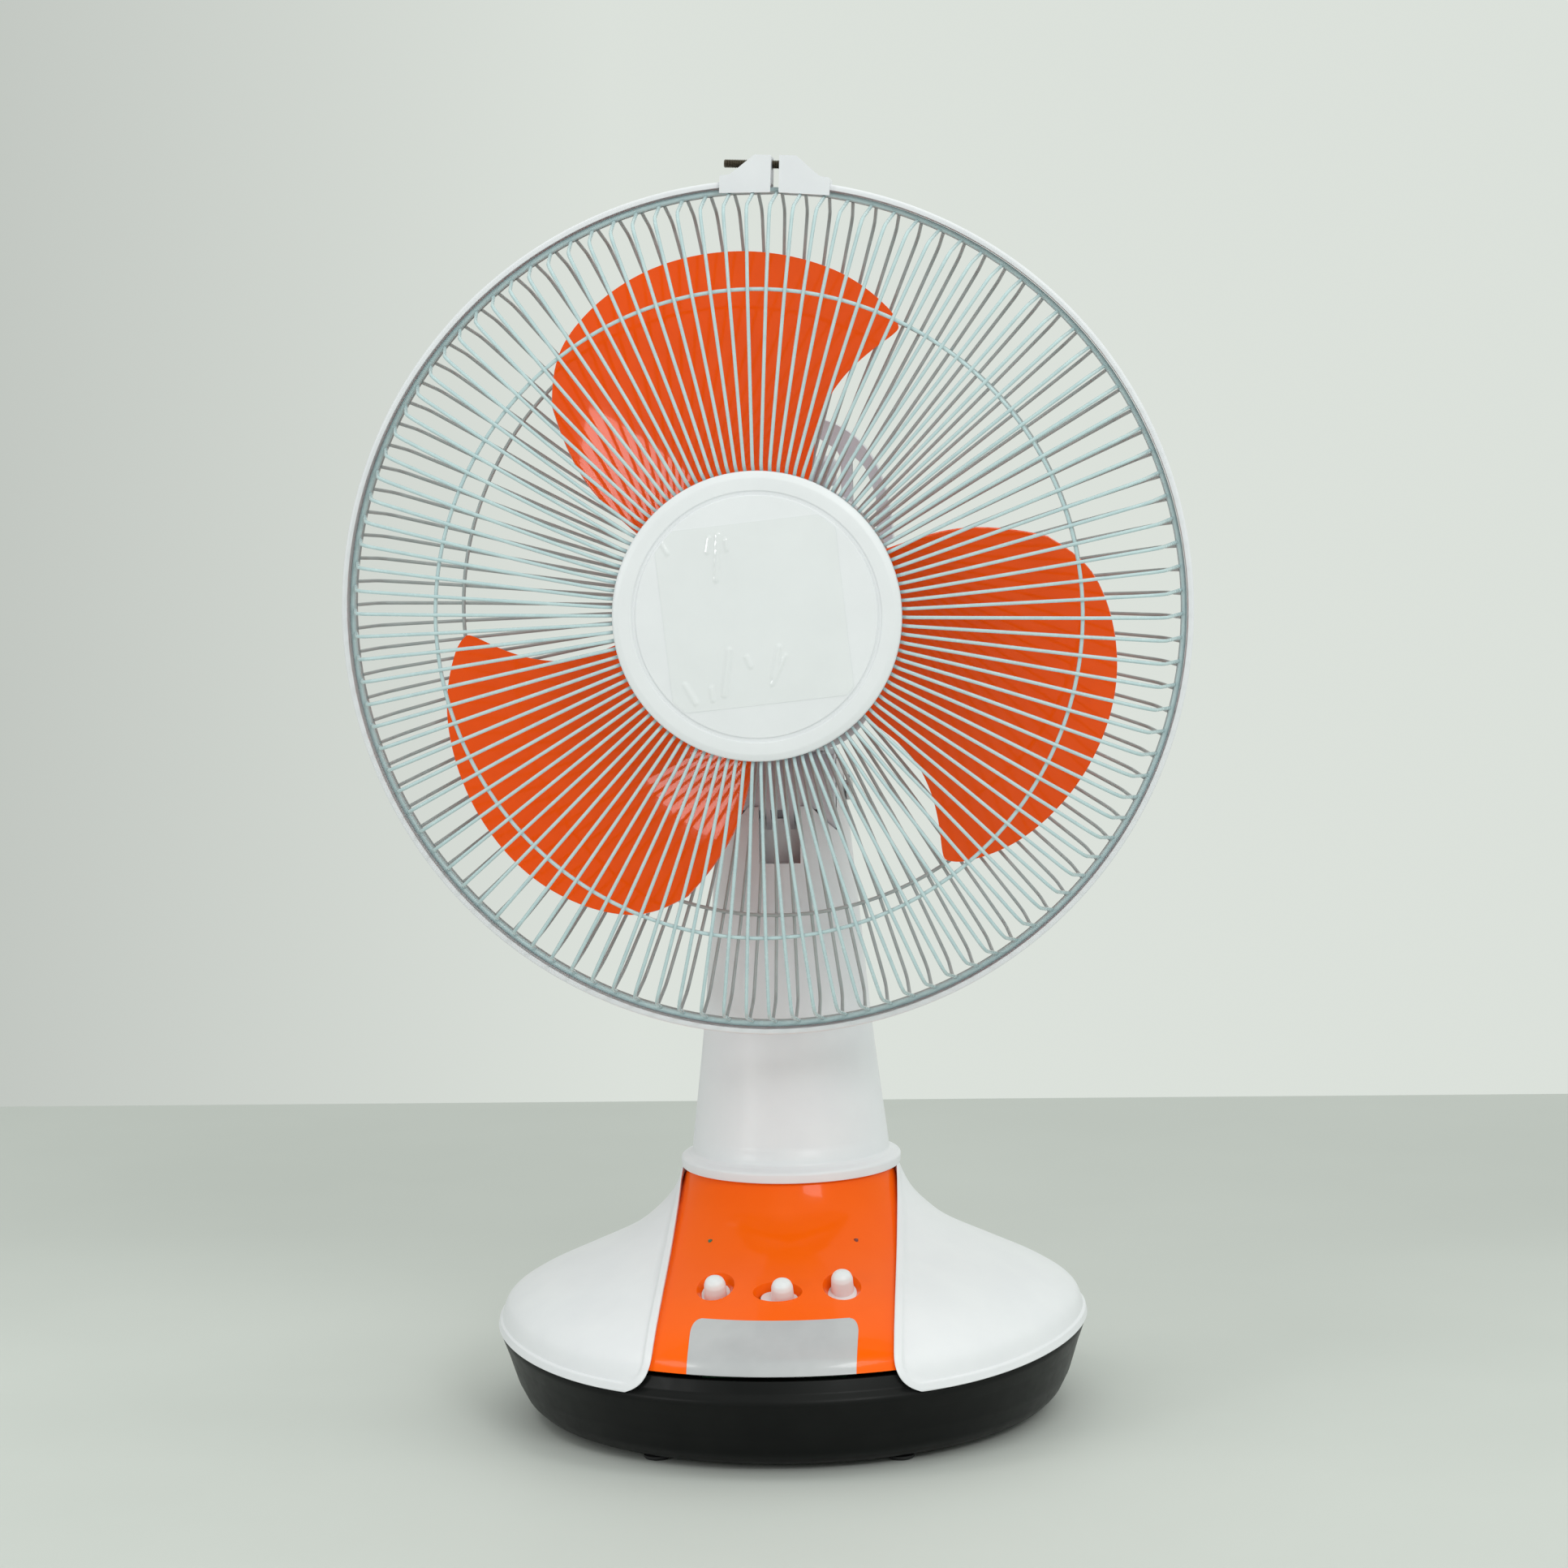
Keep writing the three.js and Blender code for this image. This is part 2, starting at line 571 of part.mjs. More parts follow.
// The handle is an arch across the top with two struts, seen from the front.
function makeHandle() {
  const arch = new THREE.Shape();
  arch.moveTo(49, 24);
  arch.bezierCurveTo(48, 62, 34, 81, 0, 81);
  arch.bezierCurveTo(-34, 81, -48, 62, -49, 24);
  const centre = new THREE.Shape();
  centre.moveTo(-27, 40);
  centre.lineTo(27, 40);
  centre.lineTo(27, 62);
  centre.quadraticCurveTo(20, 74.5, 0, 74.5);
  centre.quadraticCurveTo(-20, 74.5, -27, 62);
  const windows = [centre];
  [-1, 1].forEach((side) => {
    const gap = new THREE.Shape();
    gap.moveTo(31.5 * side, 35);
    gap.lineTo(31.5 * side, 63.5);
    gap.quadraticCurveTo(39 * side, 57, 42 * side, 42);
    gap.lineTo(42 * side, 35);
    windows.push(gap);
  });
  const openings = windows.map((shape) => slab(shape, 10, 34));
  const body = cut(slab(arch, 15, 29), ...openings, coverBody(-GAP, HOUSING_SPLIT));
  piece('carry_handle', body, WHITE(), head);
}

function makeMotor() {
  const can = turned([[8.6, 34], [CAN_R, 34], [CAN_R, -13.5], [22.3, -13.5], [22.3, 31.5], [8.6, 31.5]], 24);
  piece('motor_can', can, STEEL(), head);
  piece('motor_end_plate', turned([[4.6, -13.3], [22, -13.3], [22, -11.3], [4.6, -11.3]], 20), DARK(), head);
  [-1, 1].forEach((side) => {
    const shape = new THREE.Shape();
    const spread = 1.15;
    const middle = side > 0 ? 0 : Math.PI;
    shape.absarc(0, 0, 22, middle - spread, middle + spread, false);
    shape.absarc(0, 0, 19.2, middle + spread, middle - spread, true);
    piece(`magnet_${side > 0 ? 'right' : 'left'}`, slab(shape, -8, 28), DARK(), head);
  });
  piece('front_bearing', turned([[SHAFT_R + GAP, -21], [6.7, -21], [6.7, -14.6], [SHAFT_R + GAP, -14.6]], 12), BRASS(), head);
  piece('rear_bearing', turned([[SHAFT_R + GAP, 31.8], [8.3, 31.8], [8.3, 36.4], [SHAFT_R + GAP, 36.4]], 12), BRASS(), head);

  const saddle = cut(
    join(block(-14, 14, -12, 12, -35, -20), bar('z', 9, -61.4, -34, 0, 0, 16)),
    bar('y', CAN_R + 0.8, -40, 60, 0, 0, 24),
    bar('z', POST_R + GAP, -80, -36, 0, 0, 14),
  );
  piece('swivel_bracket', saddle, DARK(), head);

  const box = block(-25, 28, 37.5, 69, -39, 12);
  const room = block(-23, 26, 30, 67, -37, 20);
  const shaftHole = bar('z', 3.4, -50, -30, CRANK_CENTRE.x, CRANK_CENTRE.y, 12);
  piece('gearbox_case', cut(common(box, coverBody(3, -20)), room, shaftHole), DARK(), head);
}

function makeGears() {
  const wheel = gear(9.4, 0.8, WHEEL_TEETH, -4, 4);
  const wheelShaft = bar('z', 1.8, -36.5, 5, 0, 0, 12);
  const pinion = bar('z', 2.85, -36.4, -29, 0, 0, 12);
  piece('worm_wheel', join(wheel, wheelShaft, pinion), WHITE(), head).position.set(WORM_WHEEL.x, WORM_WHEEL.y, 0);

  const crankGear = gear(16.2, 0.9, CRANK_TEETH, -34, -30);
  const crankShaft = bar('z', 3, -61, -26);
  piece('crank_gear', join(crankGear, crankShaft), WHITE(), head).position.set(CRANK_CENTRE.x, CRANK_CENTRE.y, 0);

  const disc = turnedUp([[3 + GAP, -61], [12.5, -61], [12.5, -58.7], [3 + GAP, -58.7]], 20);
  const pin = crankPin().sub(CRANK_CENTRE);
  piece('crank_arm', join(disc, bar('z', 2, -61.4, -60, pin.x, pin.y, 12)), STEEL(), head)
    .position.set(CRANK_CENTRE.x, CRANK_CENTRE.y, 0);

  const knob = turnedUp([
    [0, 6], [3, 6], [3, 49], [8.6, 49], [9, 50], [9, 60.5], [7.6, 62], [0, 62.4],
  ], 16);
  piece('swing_knob', knob, WHITE(), head).position.set(WORM_WHEEL.x, WORM_WHEEL.y, 0);
}

// ---------------------------------------------------------------- head: rotor
function makeShaft() {
  const shaft = turned([[0, -97], [SHAFT_R, -97], [SHAFT_R, 37], [2.4, 37], [2.4, 58], [0, 58]], 12);
  piece('motor_shaft', cut(shaft, bar('x', 1.8, -10, 10, -61, 0, 8)), STEEL(), head);
  piece('drive_pin', bar('x', 1.5, -8, 8, -61, 0, 8), STEEL(), head);
  piece('armature', turned([[SHAFT_R + GAP, -8], [18.6, -8], [18.6, 26], [SHAFT_R + GAP, 26]], 20), DARK(), head);
  piece('commutator', turned([[SHAFT_R + GAP, 26.6], [8, 26.6], [8, 31.2], [SHAFT_R + GAP, 31.2]], 12), BRASS(), head);
  piece('worm', turned([[2.7, 43], [4.2, 43], [4.2, 57], [2.7, 57]], 12), BRASS(), head);
  const nut = turned([[0, -103], [9, -102.4], [15, -97.3], [0, -97.3]], 16);
  piece('spinner_nut', nut, ORANGE(), head);
}

// One side of the blade outline as a curve through [degrees clockwise, radius].
const polarCurve = (points) => new THREE.SplineCurve(points.map(([t, r]) => new THREE.Vector2(t, r)));

function bladePoint(u, v) {
  const { trailing, outer, leading, root } = bladePoint.sides;
  const [t, l, o, b] = [trailing.getPoint(v), leading.getPoint(v), outer.getPoint(u), root.getPoint(u)];
  const mix = (key) => {
    const across = t[key] * (1 - u) + l[key] * u;
    const along = b[key] * (1 - v) + o[key] * v;
    const corners = (root.points[0][key] * (1 - u) + root.points[1][key] * u) * (1 - v)
      + (trailing.points.at(-1)[key] * (1 - u) + leading.points.at(-1)[key] * u) * v;
    return across + along - corners;
  };
  return { degrees: mix('x'), radius: mix('y') };
}
bladePoint.sides = {
  trailing: polarCurve([[-60, 24], [-55.5, 62], [-52, 88], [-44, 120]]),
  outer: polarCurve([[-44, 120], [-35, 136], [-20, 146], [-4, 147.5], [12, 142.5], [23, 133.5], [26.4, 127]]),
  leading: polarCurve([[24, 24], [19, 57], [16.4, 80], [19, 100], [26.4, 127]]),
  root: polarCurve([[-60, 24], [24, 24]]),
};

function makeBlade(turn) {
  const [across, along] = [9, 5];
  const position = [];
  const index = [];
  [-1, 1].forEach((side) => {
    for (let j = 0; j <= along; j += 1) {
      for (let i = 0; i <= across; i += 1) {
        const { degrees, radius } = bladePoint(i / across, j / along);
        const share = THREE.MathUtils.clamp((radius - HUB_R) / (150 - HUB_R), 0, 1);
        const pitch = THREE.MathUtils.lerp(ROOT_PITCH, TIP_PITCH, share);
        const angle = THREE.MathUtils.degToRad(degrees + turn);
        const y = BLADE_Y + (pitch * (degrees + 16)) / 360;
        position.push(radius * Math.sin(angle), y + (side * BLADE_T) / 2, radius * Math.cos(angle));
      }
    }
  });
  const row = across + 1;
  const sheet = row * (along + 1);
  const quad = (a, b, c, d) => index.push(a, b, c, a, c, d);
  for (let j = 0; j < along; j += 1) {
    for (let i = 0; i < across; i += 1) {
      const p = j * row + i;
      quad(p, p + 1, p + row + 1, p + row);
      quad(sheet + p, sheet + p + row, sheet + p + row + 1, sheet + p + 1);
    }
  }
  const rim = [];
  for (let i = 0; i < across; i += 1) rim.push(i);
  for (let j = 0; j < along; j += 1) rim.push(j * row + across);
  for (let i = across; i > 0; i -= 1) rim.push(along * row + i);
  for (let j = along; j > 0; j -= 1) rim.push(j * row);
  rim.forEach((p, k) => {
    const q = rim[(k + 1) % rim.length];
    quad(q, p, sheet + p, sheet + q);
  });
  const geometry = new THREE.BufferGeometry();
  geometry.setAttribute('position', new THREE.Float32BufferAttribute(position, 3));
  geometry.setIndex(index);
  return closed(geometry);
}

function makeImpeller() {
  const bore = SHAFT_R + GAP;
  const hub = turned([
    [bore, -96.8], [15, -96.8], [24, -94.5], [HUB_R, -90], [HUB_R, -55], [24.4, -55],
    [24.4, -88], [10, -90], [10, -57], [bore, -57],
  ], 20);
  const room = turned([[9, -90], [24.4, -88], [24.4, -40], [9, -40]], 20);
  const blades = [];
  for (let i = 0; i < BLADES; i += 1) {
    blades.push(cut(makeBlade((360 / BLADES) * i), room));
  }
  const pinSlot = block(-9.4, 9.4, -62.8, -50, -1.8, 1.8);
  piece('impeller', cut(join(hub, ...blades), pinSlot), ORANGE(), head);
}

// ---------------------------------------------------------------- head: guards
// A guard is a thin shell of revolution around Y with openings between its wires.
// Each station is [radius, depth in front of the hoop plane, ring], where ring says
// that the band from this station to the next is solid all the way round.
function guardShell(stations, thickness) {
  const count = 2 * GUARD_WIRES;
  const rows = stations.length;
  const position = [];
  const index = [];
  const direction = (i) => {
    const [r0, d0] = stations[Math.max(i - 1, 0)];
    const [r1, d1] = stations[Math.min(i + 1, rows - 1)];
    return new THREE.Vector2(r1 - r0, d1 - d0).normalize();
  };
  [0.5, -0.5].forEach((side) => stations.forEach(([r, d], i) => {
    const along = direction(i);
    const radius = r - along.y * thickness * side;
    const depth = d + along.x * thickness * side;
    const halfWire = WIRE_W / 2 / r;
    for (let j = 0; j < count; j += 1) {
      const middle = (2 * Math.PI * Math.floor(j / 2)) / GUARD_WIRES;
      const angle = middle + (j % 2 ? halfWire : -halfWire);
      position.push(radius * Math.sin(angle), HOOP_Y - depth, radius * Math.cos(angle));
    }
  }));
  const at = (layer, i, j) => (layer * rows + i) * count + ((j + count) % count);
  const solid = (i, j) => i >= 0 && i < rows - 1 && (stations[i][2] || (j + count) % 2 === 0);
  const quad = (a, b, c, d) => index.push(a, b, c, a, c, d);
  for (let i = 0; i < rows; i += 1) {
    for (let j = 0; j < count; j += 1) {
      if (solid(i, j)) {
        quad(at(0, i, j), at(0, i, j + 1), at(0, i + 1, j + 1), at(0, i + 1, j));
        quad(at(1, i, j), at(1, i + 1, j), at(1, i + 1, j + 1), at(1, i, j + 1));
      }
      if (solid(i, j) && !solid(i, j - 1)) {
        quad(at(0, i, j), at(0, i + 1, j), at(1, i + 1, j), at(1, i, j));
      }
      if (!solid(i, j) && solid(i, j - 1)) {
        quad(at(0, i + 1, j), at(0, i, j), at(1, i, j), at(1, i + 1, j));
      }
      if (solid(i, j) && !solid(i - 1, j)) {
        quad(at(0, i, j + 1), at(0, i, j), at(1, i, j), at(1, i, j + 1));
      }
      if (!solid(i, j) && solid(i - 1, j)) {
        quad(at(0, i, j), at(0, i, j + 1), at(1, i, j + 1), at(1, i, j));
      }
    }
  }
  const geometry = new THREE.BufferGeometry();
  geometry.setAttribute('position', new THREE.Float32BufferAttribute(position, 3));
  geometry.setIndex(index);
  return closed(geometry);
}

function makeGuards() {
  const half = 1.3;
  const front = guardShell([
    [RIM_R, 0.5, true], [RIM_R, 3.1, false], [163.5, 35, false], [MID_R + half, 42.2, true],
    [MID_R - half, 42.4, false], [64, 42.6, false], [55, 36.4, true], [52, 36.4, false],
  ], WIRE_W);
  piece('front_guard', front, MINT(), head);
  const rear = guardShell([
    [RIM_R, -0.5, true], [RIM_R, -3.1, false], [164, -20, false], [MID_R + half, -29.6, true],
    [MID_R - half, -30, false], [52, -37.5, true], [20.5, -37.5, false],
  ], WIRE_W);
  piece('rear_guard', rear, MINT(), head);
  piece('guard_nut', turned([[20.4, -42.6], [29, -42.6], [30, -41.6], [30, -34.6], [20.4, -34.6]], 24), WHITE(), head);
}

function makeHoop() {
  const band = turned([
    [HOOP_R, 6.5], [HOOP_R, -6.5], [172.9, -6.5], [172.9, -5.5], [173.6, -5.5], [173.6, 5.5], [172.9, 5.5], [172.9, 6.5],
  ].map(([r, y]) => [r, y + HOOP_Y]), 56);
  const turn = THREE.MathUtils.degToRad(CLAMP_CLOCKING);
  const notch = block(-1.6, 1.6, HOOP_Y - 20, HOOP_Y + 20, 160, 190).rotateY(turn);
  piece('guard_hoop', cut(band, notch), WHITE(), head);

  const channel = turned([[150, -6.8], [175.6, -6.8], [175.6, 6.8], [150, 6.8]].map(([r, y]) => [r, y + HOOP_Y]), 56);
  const hole = bar('x', 2.3, -40, 40, HOOP_Y, 181.7, 12);
  [-1, 1].forEach((side) => {
    const outline = [
      [1.7, 172.4], [1.7, 185.6], [8.9, 185.6], [18.2, 177.8], [22.4, 176.8], [22.4, 171.2],
    ].map(([s, r]) => [s * side, r]);
    const block3 = slab(outline, HOOP_Y - 8.4, HOOP_Y + 8.4);
    const pocket = bar('x', 4.1, side < 0 ? -40 : 6, side < 0 ? -6 : 40, HOOP_Y, 181.7, side < 0 ? 6 : 12);
    const body = cut(block3, channel, hole, pocket).rotateY(turn);
    piece(`clamp_block_${side < 0 ? 'left' : 'right'}`, body, WHITE(), head);
  });
  const stem = bar('x', 2, -21.4, 7, HOOP_Y, 181.7, 12);
  const cap = bar('x', 3.6, 6.4, 9, HOOP_Y, 181.7, 12);
  piece('clamp_screw', join(stem, cap).rotateY(turn), STEEL(), head);
  const nut = cut(bar('x', 3.7, -9.4, -6.4, HOOP_Y, 181.7, 6), hole);
  piece('clamp_nut', nut.rotateY(turn), STEEL(), head);
}

function makeBadge() {
  const face = HOOP_Y - BADGE_DEPTH;
  const cap = turned([
    [0, face - 1.6], [49, face - 0.5], [55.4, face], [BADGE_R, face + 2.6], [BADGE_R, face + 4.6],
    [56.4, face + 4.6], [54.6, face + 2.2], [0, face + 1],
  ], 40);
  piece('badge_cap', cap, WHITE(), head);
  const plate = turned([[0, face + 10.4], [54.4, face + 10.4], [54.4, face + 11.8], [0, face + 11.8]], 24);
  piece('badge_plate', plate, STEEL(), head);
}

makeTub();
makeFeet();
makeShell();
makePanel();
makeSwitches();
makeLamps();
makeElectrics();
makeColumn();
makeNeck();
makeLink();
makeHousings();
makeHandle();
makeMotor();
makeGears();
makeShaft();
makeImpeller();
makeGuards();
makeHoop();
makeBadge();

export default fan;
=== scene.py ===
import bpy
import bmesh
import json
import math
import numpy as np
from mathutils import Matrix, Vector


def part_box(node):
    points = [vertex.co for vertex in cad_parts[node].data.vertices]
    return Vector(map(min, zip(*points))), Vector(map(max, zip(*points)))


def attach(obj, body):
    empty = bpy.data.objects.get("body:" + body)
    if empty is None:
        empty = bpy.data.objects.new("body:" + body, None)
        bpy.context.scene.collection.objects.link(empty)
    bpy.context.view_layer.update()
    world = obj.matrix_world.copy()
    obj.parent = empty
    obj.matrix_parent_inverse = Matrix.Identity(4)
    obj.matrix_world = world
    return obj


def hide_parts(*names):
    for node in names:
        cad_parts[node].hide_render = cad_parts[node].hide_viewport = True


# Desk fan, finished over its CAD frame. Lengths in the mesh code are in millimetres, and the camera,
# the textures and the lights are in metres. +Z is up, the front faces -Y, and the origin is the
# centre of the base on the table.
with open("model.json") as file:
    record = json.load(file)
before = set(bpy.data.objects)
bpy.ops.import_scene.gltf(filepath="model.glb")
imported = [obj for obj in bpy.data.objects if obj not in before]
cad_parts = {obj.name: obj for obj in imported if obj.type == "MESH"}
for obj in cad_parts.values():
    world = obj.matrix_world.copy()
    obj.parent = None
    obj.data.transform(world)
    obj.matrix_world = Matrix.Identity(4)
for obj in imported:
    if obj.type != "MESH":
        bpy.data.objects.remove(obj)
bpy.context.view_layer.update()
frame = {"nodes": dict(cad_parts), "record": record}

MM = 0.001
COLUMN_Y = 10.0  # the column stands this far behind the base's centre
FAN_Z = 348.0  # height of the fan's axis
TILT_Z = 268.0  # height of the tilt pin
HEAD = (0.0, COLUMN_Y, FAN_Z)
NECK = (0.0, COLUMN_Y, TILT_Z)
KNOB = (14.0, 60.0, FAN_Z)  # foot of the swing knob
HOOP_Y = -70.7  # middle of the hoop's band, from the column's axis
WIRES = 110  # radial wires in each guard
WIRE_R = 0.74
TILT_PIN_HOLE = 3.3
SHAFT_HOLE = 4.3  # bore of the impeller's hub


# -------- camera
def add_object(name, data):
    made = bpy.data.objects.new(name, data)
    bpy.context.scene.collection.objects.link(made)
    return made


def aim_camera(azimuth, pitch, roll, place, lens):
    """A camera at a place in metres, with its angles in degrees and its lens in millimetres."""
    a, p, r = (math.radians(v) for v in (azimuth, pitch, roll))
    ahead = Vector((-math.sin(a) * math.cos(p), math.cos(a) * math.cos(p), -math.sin(p)))
    right = Vector((math.cos(a), math.sin(a), 0.0))
    up = right.cross(ahead)
    tilted_right = right * math.cos(r) - up * math.sin(r)
    tilted_up = right * math.sin(r) + up * math.cos(r)
    data = bpy.data.cameras.new("camera")
    data.lens = lens
    data.sensor_width = 36.0
    camera = add_object("camera", data)
    turn = Matrix((tilted_right, tilted_up, -ahead)).transposed()
    camera.matrix_world = Matrix.Translation(place) @ turn.to_4x4()
    bpy.context.scene.camera = camera


aim_camera(azimuth=4.51, pitch=5.51, roll=1.29, place=(0.12511, -1.56984, 0.42247), lens=84.49)


# -------- materials
NOISE_SPAN = (0.3, 0.7)  # where nearly all of a noise texture's values lie
RELIEF_DEPTH = 0.00002  # height of the surface grain, in metres


def shader(name, roughness=0.4, metallic=0.0, **sockets):
    """A Principled material with its constants set on the shader's own sockets."""
    made = bpy.data.materials.new(name)
    made.use_nodes = True
    node = made.node_tree.nodes["Principled BSDF"]
    node.inputs["Roughness"].default_value = roughness
    node.inputs["Metallic"].default_value = metallic
    for key, value in sockets.items():
        node.inputs[key.replace("_", " ")].default_value = value
    return made, node


def noise(made, scale, detail=3.0, rough=0.55, stretch=(1, 1, 1)):
    """A 0..1 noise over the object's own coordinates."""
    nodes, links = made.node_tree.nodes, made.node_tree.links
    place = nodes.new("ShaderNodeTexCoord")
    mapping = nodes.new("ShaderNodeMapping")
    mapping.inputs["Scale"].default_value = stretch
    texture = nodes.new("ShaderNodeTexNoise")
    texture.inputs["Scale"].default_value = scale
    texture.inputs["Detail"].default_value = detail
    texture.inputs["Roughness"].default_value = rough
    links.new(place.outputs["Object"], mapping.inputs["Vector"])
    links.new(mapping.outputs["Vector"], texture.inputs["Vector"])
    return texture.outputs["Fac"]


def set_range(node, *limits):
    for key, value in zip(("From Min", "From Max", "To Min", "To Max"), limits):
        node.inputs[key].default_value = value


def spread(made, source, low, high):
    """Maps the useful part of a noise to low..high."""
    node = made.node_tree.nodes.new("ShaderNodeMapRange")
    set_range(node, *NOISE_SPAN, low, high)
    made.node_tree.links.new(source, node.inputs["Value"])
    return node.outputs["Result"]


def tint(made, source, low, high, span=NOISE_SPAN):
    """Turns a value into a colour between low and high over the span."""
    ramp = made.node_tree.nodes.new("ShaderNodeValToRGB")
    for stop, position, colour in zip(ramp.color_ramp.elements, span, (low, high)):
        stop.position = position
        stop.color = (*colour, 1.0)
    made.node_tree.links.new(source, ramp.inputs["Fac"])
    return ramp.outputs["Color"]


def bump(made, node, source, strength):
    nodes, links = made.node_tree.nodes, made.node_tree.links
    relief = nodes.new("ShaderNodeBump")
    relief.inputs["Strength"].default_value = strength
    relief.inputs["Distance"].default_value = RELIEF_DEPTH
    links.new(source, relief.inputs["Height"])
    links.new(relief.outputs["Normal"], node.inputs["Normal"])


def moulded(name, low, high, roughness, grain=2200.0, relief=0.12, wave=45.0, **sockets):
    """Moulded plastic: a faint cloudiness in colour and gloss over a fine grain."""
    made, node = shader(name, **sockets)
    links = made.node_tree.links
    cloud = noise(made, wave, 3.0)
    links.new(tint(made, cloud, low, high), node.inputs["Base Color"])
    links.new(spread(made, noise(made, wave * 3.1, 4.0), *roughness), node.inputs["Roughness"])
    bump(made, node, noise(made, grain, 2.0), relief)
    return made


def metal(name, low, high, roughness):
    """Metal with fine brush marks in its colour, gloss and relief."""
    made, node = shader(name, metallic=1.0)
    links = made.node_tree.links
    brushed = noise(made, 900.0, 4.0, 0.6, stretch=(1, 1, 12))
    links.new(tint(made, brushed, low, high), node.inputs["Base Color"])
    links.new(spread(made, brushed, *roughness), node.inputs["Roughness"])
    bump(made, node, brushed, 0.15)
    return made


# Each moulded plastic: two ends of its colour, then two ends of its roughness.
WHITE = moulded(
    "white_plastic", (0.78, 0.785, 0.825), (0.81, 0.815, 0.85), (0.36, 0.42),
    grain=700.0, relief=0.02, Coat_Weight=0.12, Coat_Roughness=0.2)
# Painted shade: a darker, lilac-grey copy of the white plastic for the neck, the motor's casing, the handle
# and the knob, which stand in shade behind the guard and the blades.
HEAD_WHITE_PAINTED_SHADE = moulded(
    "head_white_painted_shade", (0.60, 0.585, 0.64), (0.64, 0.625, 0.68), (0.34, 0.42), grain=700.0, relief=0.03)
FILM = moulded(
    "clear_film", (0.775, 0.79, 0.81), (0.80, 0.815, 0.835), (0.08, 0.14),
    grain=60.0, relief=0.05, Coat_Weight=0.4, Coat_Roughness=0.02)
SATIN_WHITE = moulded(
    "satin_white", (0.79, 0.80, 0.83), (0.82, 0.83, 0.86), (0.36, 0.44), grain=700.0, relief=0.03)
BLACK = moulded(
    "black_plastic", (0.0030, 0.0034, 0.0035), (0.0055, 0.0060, 0.0058), (0.34, 0.42),
    grain=900.0, relief=0.10, Specular_IOR_Level=0.16)
PANEL = moulded(
    "orange_panel", (0.985, 0.122, 0.001), (1.0, 0.130, 0.002), (0.16, 0.22),
    grain=700.0, relief=0.02, Specular_IOR_Level=0.08, Coat_Weight=0.16, Coat_Roughness=0.04)
BLADE = moulded(
    "blade_plastic", (0.95, 0.088, 0.001), (0.98, 0.096, 0.002), (0.07, 0.09),
    grain=700.0, relief=0.01, Specular_IOR_Level=0.12, Coat_Weight=0.3, Coat_Roughness=0.02)
MINT = moulded("coated_wire", (0.47, 0.61, 0.64), (0.53, 0.67, 0.69), (0.22, 0.30), wave=160.0, relief=0.03)
# Painted shade: a darker, greyer copy of the coated wire for the rear guard and its plate, which are the same
# wire as the front guard lying in shade behind the blades.
MINT_PAINTED_SHADE = moulded(
    "coated_wire_painted_shade", (0.37, 0.41, 0.415), (0.43, 0.47, 0.475), (0.28, 0.36), wave=160.0, relief=0.03)
MILKY = moulded("diffuser_plastic", (0.45, 0.455, 0.475), (0.51, 0.515, 0.535), (0.18, 0.26),
                Coat_Weight=0.35, Coat_Roughness=0.03)
RUBBER = moulded("foot_rubber", (0.012, 0.012, 0.013), (0.020, 0.020, 0.021), (0.68, 0.80), relief=0.4)
NYLON = moulded("gear_nylon", (0.76, 0.75, 0.69), (0.82, 0.81, 0.76), (0.42, 0.52))
BOARD = moulded("circuit_board", (0.02, 0.13, 0.05), (0.04, 0.20, 0.08), (0.35, 0.5), wave=300.0)
CASE = moulded("battery_case", (0.06, 0.065, 0.07), (0.09, 0.095, 0.10), (0.45, 0.6))
HOUSING = moulded("switch_housing", (0.03, 0.03, 0.033), (0.045, 0.045, 0.05), (0.45, 0.6))
GREEN_LENS = moulded("green_lens", (0.03, 0.10, 0.04), (0.05, 0.14, 0.06), (0.14, 0.2), Coat_Weight=0.6)
RED_LENS = moulded("red_lens", (0.16, 0.02, 0.015), (0.22, 0.03, 0.02), (0.14, 0.2), Coat_Weight=0.6)
STEEL = metal("steel", (0.50, 0.50, 0.50), (0.66, 0.66, 0.65), (0.22, 0.36))
DARK_STEEL = metal("dark_steel", (0.10, 0.085, 0.065), (0.24, 0.21, 0.17), (0.25, 0.4))
BRASS = metal("brass", (0.60, 0.42, 0.18), (0.74, 0.55, 0.27), (0.24, 0.38))
IRON = metal("dark_metal", (0.05, 0.05, 0.055), (0.10, 0.10, 0.11), (0.42, 0.6))

BY_SLOT = {
    "white_plastic": WHITE, "black_plastic": BLACK, "orange_plastic": PANEL, "blade_plastic": BLADE,
    "coated_wire": MINT, "steel": STEEL, "brass": BRASS, "dark_metal": IRON, "circuit_board": BOARD,
    "battery_case": CASE, "diffuser_plastic": MILKY, "foot_rubber": RUBBER, "gear_nylon": NYLON,
    "switch_housing": HOUSING, "green_lens": GREEN_LENS, "red_lens": RED_LENS,
}
SLOT_OF = {entry["node"]: entry["material_slot"] for entry in frame["record"]["subparts"]}
for node_name, node_object in frame["nodes"].items():
    node_object.data.materials.clear()
    node_object.data.materials.append(BY_SLOT[SLOT_OF[node_name]])


# -------- mesh helpers
def clean_object(name, mesh, work):
    """Merges doubles, turns the normals out and puts the result in a new object."""
    bmesh.ops.remove_doubles(work, verts=work.verts, dist=2e-6)
    bmesh.ops.recalc_face_normals(work, faces=work.faces)
    work.to_mesh(mesh)
    work.free()
    return add_object(name, mesh)


def place_mesh(name, verts, faces, origin=(0, 0, 0)):
    """A mesh object from millimetre vertices."""
    points = (np.asarray(verts, float) + np.asarray(origin, float)) * MM
    mesh = bpy.data.meshes.new(name)
    mesh.from_pydata(points.tolist(), [], [list(map(int, f)) for f in faces])
    work = bmesh.new()
    work.from_mesh(mesh)
    return clean_object(name, mesh, work)


